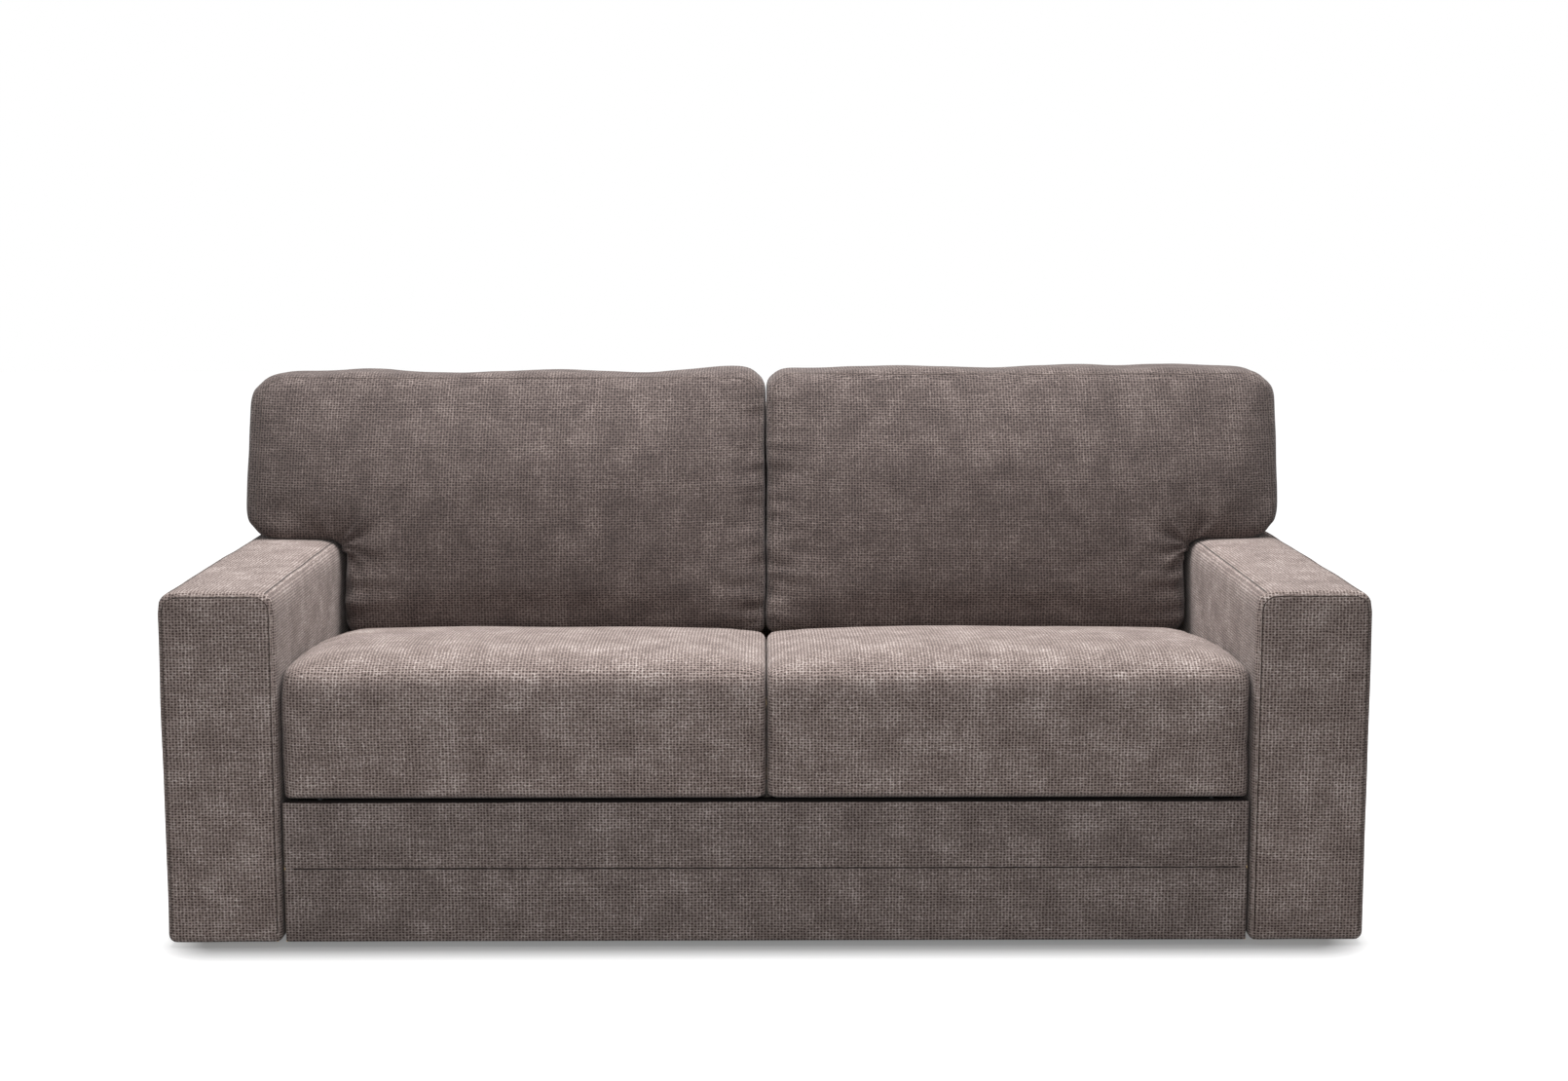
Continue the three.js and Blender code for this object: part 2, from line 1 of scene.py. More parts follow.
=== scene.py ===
"""A two-seat sleeper sofa in brown-grey chenille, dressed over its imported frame.

Everything is in metres: +X to the right, +Y to the back, +Z up, with the origin on the floor.
"""

import json
import logging
import math
from dataclasses import dataclass
from enum import Enum
from typing import Callable, Iterable, Sequence

import bmesh
import bpy
from mathutils import Matrix, Vector, noise
from mathutils.bvhtree import BVHTree

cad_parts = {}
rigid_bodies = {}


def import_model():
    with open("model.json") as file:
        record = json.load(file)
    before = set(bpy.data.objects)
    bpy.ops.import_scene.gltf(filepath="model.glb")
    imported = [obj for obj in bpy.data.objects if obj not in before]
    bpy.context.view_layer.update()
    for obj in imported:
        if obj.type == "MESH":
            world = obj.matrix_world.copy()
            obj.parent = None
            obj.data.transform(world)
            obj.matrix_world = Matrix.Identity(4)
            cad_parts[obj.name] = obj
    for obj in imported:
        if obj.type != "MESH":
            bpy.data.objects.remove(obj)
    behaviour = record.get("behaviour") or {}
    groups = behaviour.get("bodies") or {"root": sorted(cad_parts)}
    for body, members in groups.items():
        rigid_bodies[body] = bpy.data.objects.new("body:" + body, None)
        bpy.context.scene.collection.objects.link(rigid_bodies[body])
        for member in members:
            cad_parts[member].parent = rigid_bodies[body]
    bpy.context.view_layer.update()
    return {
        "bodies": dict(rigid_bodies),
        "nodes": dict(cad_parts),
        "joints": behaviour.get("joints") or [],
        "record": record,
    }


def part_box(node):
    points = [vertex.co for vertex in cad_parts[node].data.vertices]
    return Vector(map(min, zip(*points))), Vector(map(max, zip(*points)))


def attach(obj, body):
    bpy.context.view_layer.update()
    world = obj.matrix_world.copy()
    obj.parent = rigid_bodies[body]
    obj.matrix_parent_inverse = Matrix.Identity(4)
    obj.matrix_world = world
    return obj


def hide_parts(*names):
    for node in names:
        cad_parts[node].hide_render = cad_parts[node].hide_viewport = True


LOG = logging.getLogger("sleeper_sofa")
MM = 0.001
WEAVE = "weave"

Tree = bpy.types.NodeTree
Node = bpy.types.Node
Socket = bpy.types.NodeSocket
Piece = bpy.types.Object
Mesh = bmesh.types.BMesh
Vert = bmesh.types.BMVert
Settings = dict[str | int, object]
Links = dict[str | int, Socket | Node]


class Side(Enum):
    """The two mirrored halves of the sofa, as seen from the front."""

    LEFT = -1
    RIGHT = 1

    @property
    def word(self) -> str:
        """The ending of a node's name on this side."""
        return self.name.lower()

    def across(self, low: Vector, high: Vector) -> tuple[float, float]:
        """Tell the inner side of a box from its outer side.

        Args:
            low: The box's lowest corner.
            high: Its highest corner.

        Returns:
            The X of its inner side and of its outer side.
        """
        return (low.x, high.x) if self is Side.RIGHT else (high.x, low.x)


class Body(str, Enum):
    """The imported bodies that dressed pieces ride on."""

    SOFA = "sofa"
    BED_BODY = "bed_body"
    KNEE = "bed_knee"
    FOOT = "bed_foot"
    HEAD = "bed_head"


# Finishes


def linear(hex_colour: str) -> tuple[float, float, float, float]:
    """Turn an sRGB hex colour into linear light.

    Args:
        hex_colour: Six hex digits.

    Returns:
        Red, green, blue and alpha in linear light.
    """
    parts = [int(hex_colour[i : i + 2], 16) / 255 for i in (0, 2, 4)]
    flat = [c / 12.92 if c <= 0.04045 else ((c + 0.055) / 1.055) ** 2.4 for c in parts]
    return flat[0], flat[1], flat[2], 1.0


def set_up(tree: Tree, node: Node, settings: Settings, links: Links) -> Node:
    """Give a node its settings and links.

    Args:
        tree: The node tree that holds it.
        node: The node.
        settings: Values by property name, or by input name or number.
        links: Output sockets, or nodes for their first output, by input name or number.

    Returns:
        The node.
    """
    for key, value in settings.items():
        if isinstance(key, str) and hasattr(node, key):
            setattr(node, key, value)
        else:
            node.inputs[key].default_value = value
    for key, source in links.items():
        socket = source.outputs[0] if isinstance(source, Node) else source
        tree.links.new(socket, node.inputs[key])
    return node


def add_node(tree: Tree, kind: str, settings: Settings | None = None, links: Links | None = None) -> Node:
    """Add one shader node.

    Args:
        tree: The node tree that receives it.
        kind: Its Blender type, without the ShaderNode that all of them start with.
        settings: As set_up takes them.
        links: As set_up takes them.

    Returns:
        The new node.
    """
    return set_up(tree, tree.nodes.new("ShaderNode" + kind), settings or {}, links or {})


def set_ramp(node: Node, *stops: tuple[float, str]) -> None:
    """Give a colour ramp its stops.

    Args:
        node: The Color Ramp node.
        stops: Places from 0 to 1, each with a hex colour, in order.
    """
    elements = node.color_ramp.elements
    while len(elements) < len(stops):
        elements.new(0.5)
    for element, (place, colour) in zip(elements, stops):
        element.position = place
        element.color = linear(colour)


def add_grain(
    tree: Tree, pitch_mm: float, detail: float, depth_mm: float, strength: float = 0.3
) -> tuple[Node, Node]:
    """Roughen a surface with a fine, even grain.

    Args:
        tree: The material's node tree.
        pitch_mm: The size of one grain.
        detail: How many finer layers it has.
        depth_mm: How deep it is.
        strength: How much of that depth shows.

    Returns:
        The grain's noise, and the bump that it makes.
    """
    place = add_node(tree, "TexCoord").outputs["Object"]
    grain = add_node(tree, "TexNoise", {"Scale": 1 / (pitch_mm * MM), "Detail": detail}, {"Vector": place})
    bump = {"Strength": strength, "Distance": depth_mm * MM}
    return grain, add_node(tree, "Bump", bump, {"Height": grain})


@dataclass(frozen=True)
class Finish:
    """A material of the sofa, built once and shared by its pieces.

    Attributes:
        title: The material's name.
        slot: The material slot that it fills.
    """

    title: str
    slot: str

    def material(self) -> bpy.types.Material:
        """Find the finish's Blender material, or build it at its first use.

        Returns:
            The material.
        """
        found = bpy.data.materials.get(self.title)
        if found is not None:
            return found
        made = bpy.data.materials.new(self.title)
        made.use_nodes = True
        self.dress(made.node_tree, made.node_tree.nodes["Principled BSDF"])
        return made

    def dress(self, tree: Tree, shader: Node) -> None:
        """Lay the finish's nodes; each finish has its own.

        Args:
            tree: The material's node tree.
            shader: Its Principled BSDF.
        """
        raise NotImplementedError


@dataclass(frozen=True)
class Chenille(Finish):
    """Polyester chenille in a coarse plain weave.

    Light yarns cross both ways round small dark holes, 4.7 mm apart as in the real cloth, and the pile lies
    over in hazy patches. The colours go from the deepest part of a hole to the tips of the pile.
    """

    title: str = "woven_chenille"
    slot: str = "fabric"
    deep: str = "433836"
    shade: str = "756762"
    body: str = "a2938d"
    tip: str = "d5c9c4"
    yarn_mm: float = 4.7
    lift_mm: float = 0.75
    # How much the tufts, the yarns on top, the haze, the weft, the warp and the specks count in the tone,
    # and how far the tone is brought down, so that they fill the ramp.
    shares: tuple[float, ...] = (0.40, 0.10, 0.36, 0.15, 0.13, 0.38)
    darker: float = 0.062

    def dress(self, tree: Tree, shader: Node) -> None:
        """Weave the yarns from the piece's own UV map, which is laid out in metres.

        Args:
            tree: The material's node tree.
            shader: Its Principled BSDF.
        """
        cloth = add_node(tree, "UVMap", {"uv_map": WEAVE})
        crossing = self.yarns(tree, cloth)
        rise = add_node(tree, "Math", {"operation": "ABSOLUTE"}, {0: crossing})
        hole = add_node(tree, "Math", {"operation": "POWER", 1: 1.3}, {0: rise})
        tuft = add_node(tree, "Math", {"operation": "SUBTRACT", 0: 1.0}, {1: hole})
        over = add_node(tree, "MapRange", {"From Min": -0.5, "From Max": 0.5}, {"Value": crossing})
        clouds = {"Scale": 17.0, "Detail": 5.0, "Roughness": 0.66}
        haze = add_node(tree, "TexNoise", clouds, {"Vector": cloth})
        streaks = []
        for stretch in ((16.0, 170.0, 1.0), (170.0, 22.0, 1.0)):
            way = add_node(tree, "Mapping", {"Scale": stretch}, {"Vector": cloth})
            streaks.append(add_node(tree, "TexNoise", {"Scale": 1.0, "Detail": 2.0}, {"Vector": way}))
        speck = add_node(tree, "TexNoise", {"Scale": 210.0, "Detail": 2.0}, {"Vector": cloth})
        tone = None
        for layer, share in zip((tuft, over, haze, *streaks, speck), self.shares):
            counted = {"operation": "MULTIPLY_ADD", 1: share, 2: -self.darker}
            tone = add_node(tree, "Math", counted, {0: layer, 2: tone} if tone else {0: layer})
        stops = ((0.50, self.deep), (0.70, self.shade), (0.88, self.body), (1.0, self.tip))
        ramp = add_node(tree, "ValToRGB", links={"Fac": tone})
        set_ramp(ramp, *stops)
        pile = add_node(tree, "Math", {"operation": "MULTIPLY_ADD", 1: 0.6}, {0: speck, 2: tuft})
        lift = {"Strength": 0.36, "Distance": self.lift_mm * MM}
        relief = add_node(tree, "Bump", lift, {"Height": pile})
        # The pile is matt, and its tips catch a little light at a flat angle.
        look = {"Roughness": 0.92, "Specular IOR Level": 0.2, "Sheen Weight": 0.2, "Sheen Roughness": 0.5}
        look["Sheen Tint"] = linear("d6d2d1")
        set_up(tree, shader, look, {"Base Color": ramp, "Normal": relief})

    def yarns(self, tree: Tree, cloth: Node) -> Node:
        """Cross the warp and the weft, which wander a little.

        Args:
            tree: The material's node tree.
            cloth: The UV map.

        Returns:
            A node from -1 to 1 that changes its sign from one crossing to the next.
        """
        drift = add_node(tree, "TexNoise", {"Scale": 70.0, "Detail": 2.0}, {"Vector": cloth})
        half = {"operation": "SUBTRACT", 1: (0.5, 0.5, 0.5)}
        centred = add_node(tree, "VectorMath", half, {0: drift.outputs["Color"]})
        rate = 1.0 / (self.yarn_mm * MM)
        pitch = {"operation": "MULTIPLY", 1: (rate * 0.9, rate * 1.1, rate)}
        even = add_node(tree, "VectorMath", pitch, {0: cloth})
        stray = {"operation": "MULTIPLY_ADD", 1: (0.7, 0.7, 0.7)}
        wander = add_node(tree, "VectorMath", stray, {0: centred, 2: even})
        axes = add_node(tree, "SeparateXYZ", links={0: wander})
        waves = []
        for axis in ("X", "Y"):
            turn = add_node(tree, "Math", {"operation": "MULTIPLY", 1: math.pi}, {0: axes.outputs[axis]})
            waves.append(add_node(tree, "Math", {"operation": "SINE"}, {0: turn}))
        return add_node(tree, "Math", {"operation": "MULTIPLY"}, dict(enumerate(waves)))


@dataclass(frozen=True)
class SeamShadeFinish(Finish):
    """The doubled edge of the chenille along a seam, pressed flat by its stitches, so smoother.

    Its dark colour is painted shade: it stands in for the shade in the seam's crease.
    """

    title: str = "seam_edge_painted_shade"
    slot: str = "fabric"
    dark: str = "2f2724"
    light: str = "5c504a"
    stitch_mm: float = 6.25

    def dress(self, tree: Tree, shader: Node) -> None:
        """Alternate short darker and lighter stretches: painted shade and light where the stitches pull the
        edge in.

        Args:
            tree: The material's node tree.
            shader: Its Principled BSDF.
        """
        pull, relief = add_grain(tree, self.stitch_mm, detail=2.0, depth_mm=0.6, strength=0.6)
        ramp = add_node(tree, "ValToRGB", links={"Fac": pull})
        set_ramp(ramp, (0.38, self.dark), (0.66, self.light))
        look = {"Roughness": 0.9, "Specular IOR Level": 0.2, "Sheen Weight": 0.2}
        set_up(tree, shader, look, {"Base Color": ramp, "Normal": relief})


@dataclass(frozen=True)
class LiningPaintedGapShade(Finish):
    """Spun-bonded black lining cloth, stapled where the covers end: quite matt, with a faint fibre grain.

    On the front panel's top, its black also paints the shade in the gap under the seat cushions.
    """

    title: str = "spunbond_lining"
    slot: str = "fabric"
    colour: str = "231f1e"
    fibre_mm: float = 1.2  # coarser than the real fibres, so that it shows

    def dress(self, tree: Tree, shader: Node) -> None:
        """Grain the cloth with pressed fibres.

        Args:
            tree: The material's node tree.
            shader: Its Principled BSDF.
        """
        _, relief = add_grain(tree, self.fibre_mm, detail=2.0, depth_mm=0.2)
        look = {"Base Color": linear(self.colour), "Roughness": 0.95, "Specular IOR Level": 0.1}
        set_up(tree, shader, look, {"Normal": relief})


@dataclass(frozen=True)
class Ticking(Finish):
    """Striped cotton ticking over foam, quilted in diamonds: matt, off-white, with thin grey-blue stripes."""

    title: str = "quilted_cotton_ticking"
    slot: str = "ticking"
    ground: str = "c9c2b4"
    stripe: str = "87919c"
    stripe_pitch_mm: float = 24.0
    diamond_mm: float = 110.0
    puff_mm: float = 5.0

    def dress(self, tree: Tree, shader: Node) -> None:
        """Stripe the cloth along the bed and press the quilting lines into it.

        Args:
            tree: The material's node tree.
            shader: Its Principled BSDF.
        """
        axes = add_node(tree, "SeparateXYZ", links={0: add_node(tree, "UVMap", {"uv_map": WEAVE})})
        across, along_bed = axes.outputs["X"], axes.outputs["Y"]
        pitch = {"operation": "MULTIPLY", 1: 2 * math.pi / (self.stripe_pitch_mm * MM)}
        turn = add_node(tree, "Math", pitch, {0: across})
        wave = add_node(tree, "Math", {"operation": "SINE"}, {0: turn})
        ramp = add_node(tree, "ValToRGB", links={"Fac": wave})
        set_ramp(ramp, (0.90, self.ground), (0.95, self.stripe))
        lines = []
        diamond = {"operation": "MULTIPLY", 1: math.pi / (self.diamond_mm * MM)}
        for sign in (1.0, -1.0):
            slant = {"operation": "MULTIPLY_ADD", 1: sign}
            lean = add_node(tree, "Math", slant, {0: along_bed, 2: across})
            scaled = add_node(tree, "Math", diamond, {0: lean})
            sine = add_node(tree, "Math", {"operation": "SINE"}, {0: scaled})
            lines.append(add_node(tree, "Math", {"operation": "ABSOLUTE"}, {0: sine}))
        least = add_node(tree, "Math", {"operation": "MINIMUM"}, dict(enumerate(lines)))
        puff = add_node(tree, "Math", {"operation": "POWER", 1: 0.4}, {0: least})
        height = {"Strength": 0.9, "Distance": self.puff_mm * MM}
        relief = add_node(tree, "Bump", height, {"Height": puff})
        look = {"Roughness": 0.88, "Specular IOR Level": 0.25}
        set_up(tree, shader, look, {"Base Color": ramp, "Normal": relief})


@dataclass(frozen=True)
class Timber(Finish):
    """Planed softwood or peeled veneer: long grain streaks along X, a faint gloss, slightly raised grain."""

    early: str
    late: str
    grain_pitch_mm: float
    roughness: float

    def dress(self, tree: Tree, shader: Node) -> None:
        """Stretch the grain along X and break it with pores.

        Args:
            tree: The material's node tree.
            shader: Its Principled BSDF.
        """
        place = add_node(tree, "TexCoord").outputs["Object"]
        rate = 1.0 / (self.grain_pitch_mm * MM)
        stretch = {"Scale": (rate * 0.02, rate * 0.45, rate * 0.45)}
        way = add_node(tree, "Mapping", stretch, {"Vector": place})
        streaks = {"Scale": 1.0, "Detail": 5.0, "Distortion": 0.6}
        grain = add_node(tree, "TexNoise", streaks, {"Vector": way})
        ramp = add_node(tree, "ValToRGB", links={"Fac": grain})
        set_ramp(ramp, (0.35, self.late), (0.62, self.early))
        relief = add_node(tree, "Bump", {"Strength": 0.25, "Distance": 0.4 * MM}, {"Height": grain})
        set_up(tree, shader, {"Roughness": self.roughness}, {"Base Color": ramp, "Normal": relief})


@dataclass(frozen=True)
class PowderCoat(Finish):
    """Mild steel in black powder coat: a fine orange-peel surface with a soft satin gloss."""

    title: str = "black_powder_coat"
    slot: str = "black_steel"
    colour: str = "232527"
    peel_mm: float = 1.4

    def dress(self, tree: Tree, shader: Node) -> None:
        """Roughen the coat with a fine peel and a little uneven gloss.

        Args:
            tree: The material's node tree.
            shader: Its Principled BSDF.
        """
        _, relief = add_grain(tree, self.peel_mm, detail=1.0, depth_mm=0.2)
        place = add_node(tree, "TexCoord").outputs["Object"]
        worn = add_node(tree, "TexNoise", {"Scale": 14.0, "Detail": 4.0}, {"Vector": place})
        gloss = add_node(tree, "MapRange", {"To Min": 0.36, "To Max": 0.56}, {"Value": worn})
        look = {"Base Color": linear(self.colour)}
        set_up(tree, shader, look, {"Roughness": gloss, "Normal": relief})


@dataclass(frozen=True)
class ZincPlate(Finish):
    """Rolled steel with bright zinc plating: small crystal patches of slightly different grey and gloss."""

    title: str = "zinc_plated_steel"
    slot: str = "zinc_steel"
    pale: str = "c3c7ca"
    dull: str = "8f9498"
    crystal_mm: float = 6.0

    def dress(self, tree: Tree, shader: Node) -> None:
        """Break the plating into crystals.

        Args:
            tree: The material's node tree.
            shader: Its Principled BSDF.
        """
        place = add_node(tree, "TexCoord").outputs["Object"]
        cells = add_node(tree, "TexVoronoi", {"Scale": 1 / (self.crystal_mm * MM)}, {"Vector": place})
        split = add_node(tree, "SeparateColor", links={0: cells.outputs["Color"]})
        ramp = add_node(tree, "ValToRGB", links={"Fac": split})
        set_ramp(ramp, (0.0, self.dull), (1.0, self.pale))
        gloss = add_node(tree, "MapRange", {"To Min": 0.26, "To Max": 0.42}, {"Value": split.outputs[1]})
        set_up(tree, shader, {"Metallic": 1.0}, {"Base Color": ramp, "Roughness": gloss})


@dataclass(frozen=True)
class MouldedPlastic(Finish):
    """Injection-moulded black polypropylene with a fine spark-eroded grain."""

    title: str = "moulded_black_polypropylene"
    slot: str = "glide_plastic"
    colour: str = "1b1a19"
    grain_mm: float = 0.8

    def dress(self, tree: Tree, shader: Node) -> None:
        """Grain the plastic and vary its gloss a little.

        Args:
            tree: The material's node tree.
            shader: Its Principled BSDF.
        """
        grain, relief = add_grain(tree, self.grain_mm, detail=2.0, depth_mm=0.15)
        gloss = add_node(tree, "MapRange", {"To Min": 0.44, "To Max": 0.6}, {"Value": grain})
        look = {"Base Color": linear(self.colour)}
        set_up(tree, shader, look, {"Roughness": gloss, "Normal": relief})


CHENILLE = Chenille()
# The panel and the back cushions wear darker copies of the same chenille: painted shade, since the cloth
# itself is the same.
PANEL_CHENILLE_PAINTED_SHADE = Chenille("woven_chenille_nap_across", "fabric", "3d3432", "695d59", "91847f", "c1b5b1")
BACK_CHENILLE_PAINTED_SHADE = Chenille("woven_chenille_nap_down", "fabric", "2a2423", "4c4240", "6c605c", "90847f")
# The seam cords are dark to paint the shade along the seams.
SEAM_EDGE_PAINTED_SHADE = SeamShadeFinish()
# The panel's fold cord is darker still: it paints the shade deep in its groove.
SEAM_FOLD_PAINTED_SHADE = SeamShadeFinish("seam_fold_painted_shade", "fabric", "1b1614", "3a312e")
# The black lining on the panel's top paints the shade in the gap under the seat cushions.
LINING_PAINTED_GAP_SHADE = LiningPaintedGapShade()
TICKING = Ticking()
HARD_FINISHES = {
    finish.slot: finish
    for finish in (
        Timber("rotary_cut_birch_ply", "birch_ply", "e0c596", "c4a06c", grain_pitch_mm=9.0, roughness=0.58),
        Timber("planed_pine", "pine", "e2c48e", "b98e52", grain_pitch_mm=6.0, roughness=0.66),
        PowderCoat(),
        ZincPlate(),
        MouldedPlastic(),
    )
}


# Shaping

BACKWARDS = Vector((0, 1, 0))
FORWARDS = Vector((0, -1, 0))
DOWN = Vector((0, 0, -1))
CLEAR = 0.2  # how far outside a piece the points of its seams start


def smooth_step(value: float) -> float:
    """Ease a share from 0 to 1 with level ends."""
    share = min(1.0, max(0.0, value))
    return share * share * (3 - 2 * share)


def bell(distance: float, reach: float) -> float:
    """Fade from 1 at no distance to about a third at the reach, and on towards 0."""
    return math.exp(-((distance / reach) ** 2))


def ripple(place: Vector, rates: Sequence[float], height_mm: float, shift: Iterable[float]) -> float:
    """Read a smooth noise that lifts and sinks cloth.

    Args:
        place: Where on the cloth.
        rates: How fast the noise changes along X, Y and Z.
        height_mm: How high its waves are.
        shift: Where in the noise the cloth starts.

    Returns:
        The lift in metres, above or below 0.
    """
    spot = Vector([part * rate for part, rate in zip(place, rates)])
    return noise.noise(spot + Vector(shift)) * height_mm * MM


def tightened(value: float, edge: float, radius: float, power: float) -> float:
    """Draw a place near a side outwards, so that the corner beside it turns more sharply.

    Args:
        value: The place along one axis.
        edge: Where the side is.
        radius: How far in the change reaches.
        power: How sharp the corner gets; 1 leaves it round.

    Returns:
        The new place.
    """
    share = abs(value - edge) / radius
    return edge + math.copysign(radius * share**power, value - edge) if share < 1 else value


def steps_between(low: float, high: float, radius: float, spacing: float) -> list[float]:
    """Places for cross loops on one side of a block.

    Args:
        low: Where the side starts.
        high: Where it ends.
        radius: The edge radius, which gets close loops.
        spacing: The widest distance between the other loops.

    Returns:
        The inner loop places, in order.
    """
    corner = [radius * share for share in (0.3, 0.65, 1.0)]
    near = [low + step for step in corner]
    far = [high - step for step in reversed(corner)]
    span = far[0] - near[-1]
    count = max(1, math.ceil(span / spacing))
    return near + [near[-1] + span * i / count for i in range(1, count)] + far


@dataclass
class RoundedBlock:
    """An upholstered block: a box with close loops, round edges and soft faces.

    Attributes:
        low: The lowest corner.
        high: The highest corner.
        radius: The edge radius.
        spacing: The widest distance between loops.
    """

    low: Vector
    high: Vector
    radius: float
    spacing: float

    def add_to(self, bm: Mesh) -> list[Vert]:
        """Build the block in a bmesh.

        Args:
            bm: The mesh that receives it.

        Returns:
            Its vertices.
        """
        centre = (self.low + self.high) / 2
        size = self.high - self.low
        place = Matrix.Translation(centre) @ Matrix.Diagonal((size.x, size.y, size.z, 1.0))
        parts = set(bmesh.ops.create_cube(bm, size=1.0, matrix=place)["verts"])
        for axis in range(3):
            normal = Vector((0.0, 0.0, 0.0))
            normal[axis] = 1.0
            for step in steps_between(self.low[axis], self.high[axis], self.radius, self.spacing):
                point = centre.copy()
                point[axis] = step
                faces = {face for vert in parts for face in vert.link_faces}
                edges = {edge for face in faces for edge in face.edges}
                cuttable = list(parts) + list(edges) + list(faces)
                cut = bmesh.ops.bisect_plane(bm, geom=cuttable, plane_co=point, plane_no=normal, dist=1e-7)
                parts.update(item for item in cut["geom_cut"] if isinstance(item, Vert))
        for vert in parts:
            vert.co = self.rounded(vert.co)
        return list(parts)

    def rounded(self, point: Vector) -> Vector:
        """Move a point of the box's surface onto the round edge beside it.

        Args:
            point: The point.

        Returns:
            Its new place.
        """
        core = Vector(
            [min(max(point[i], self.low[i] + self.radius), self.high[i] - self.radius) for i in range(3)]
        )
        away = point - core
        return core + away.normalized() * self.radius if away.length > 1e-9 else point


def turn_corner(
    verts: Sequence[Vert], corner: tuple[float, float], way: tuple[int, int], radius: float, soft: float = 0.0
) -> None:
    """Round one corner of a block's outline, as seen from the front.

    Args:
        verts: The block's vertices.
        corner: The corner's X and Z.
        way: The way from the block to the corner along X and Z.
        radius: The corner's radius.
        soft: The edge radius that the block's corner already has.
    """
    core_x, core_z = corner[0] - way[0] * radius, corner[1] - way[1] * radius
    reach = radius - soft
    for vert in verts:
        dx, dz = (vert.co.x - core_x) * way[0], (vert.co.z - core_z) * way[1]
        if dx > 0 and dz > 0:
            length = math.hypot(dx, dz)
            outline = radius / (max(dx, dz) / length)
            if soft and min(dx, dz) / length * outline > reach:
                both = (dx + dz) / length
                root = (reach * both) ** 2 - 2 * reach**2 + soft**2
                outline = reach * both + math.sqrt(max(0.0, root))
            vert.co.x = core_x + way[0] * dx * radius / outline
            vert.co.z = core_z + way[1] * dz * radius / outline


def finished_piece(name: str, bm: Mesh, finish: Finish) -> Piece:
    """Turn a bmesh into a smooth-shaded object with its finish.

    Args:
        name: The piece's name.
        bm: Its mesh, which is freed.
        finish: Its material.

    Returns:
        The new object, at the origin.
    """
    mesh = bpy.data.meshes.new(name)
    bm.to_mesh(mesh)
    bm.free()
    piece = bpy.data.objects.new(name, mesh)
    bpy.context.scene.collection.objects.link(piece)
    mesh.materials.append(finish.material())
    mesh.shade_smooth()
    return piece


def evaluated_mesh(piece: Piece) -> bpy.types.Mesh:
    """Make a new mesh of an object as its modifiers or its curve's bevel leave it."""
    graph = bpy.context.evaluated_depsgraph_get()
    return bpy.data.meshes.new_from_object(piece.evaluated_get(graph))


def apply_modifier(piece: Piece, name: str, kind: str, **settings: object) -> None:
    """Add one modifier to a piece and make it part of its mesh.

    Args:
        piece: The piece.
        name: The modifier's name.
        kind: Its Blender type.
        settings: Its values by property name.
    """
    modifier = piece.modifiers.new(name, kind)
    for key, value in settings.items():
        setattr(modifier, key, value)
    keep_modifiers(piece)


def keep_modifiers(piece: Piece) -> None:
    """Make a piece's modifiers part of its mesh.

    Args:
        piece: The piece.
    """
    made = evaluated_mesh(piece)
    old = piece.data
    piece.modifiers.clear()
    piece.data = made
    made.name = piece.name
    bpy.data.meshes.remove(old)


def remesh(piece: Piece, voxel: float) -> None:
    """Rebuild a piece as one even quad skin."""
    apply_modifier(piece, "even_skin", "REMESH", mode="VOXEL", voxel_size=voxel, use_smooth_shade=True)


def subdivide(piece: Piece) -> None:
    """Add one level of subdivision and keep it."""
    apply_modifier(piece, "finer_skin", "SUBSURF", levels=1, render_levels=1)


def relax(piece: Piece, rounds: int, factor: float = 0.5) -> None:
    """Smooth away the voxel steps of a remeshed piece.

    Args:
        piece: The piece.
        rounds: How often it is smoothed.
        factor: How far each point goes towards the middle of its neighbours.
    """
    bm = bmesh.new()
    bm.from_mesh(piece.data)
    for _ in range(rounds):
        bmesh.ops.smooth_vert(
            bm, verts=bm.verts, factor=factor, use_axis_x=True, use_axis_y=True, use_axis_z=True
        )
    bm.to_mesh(piece.data)
    bm.free()


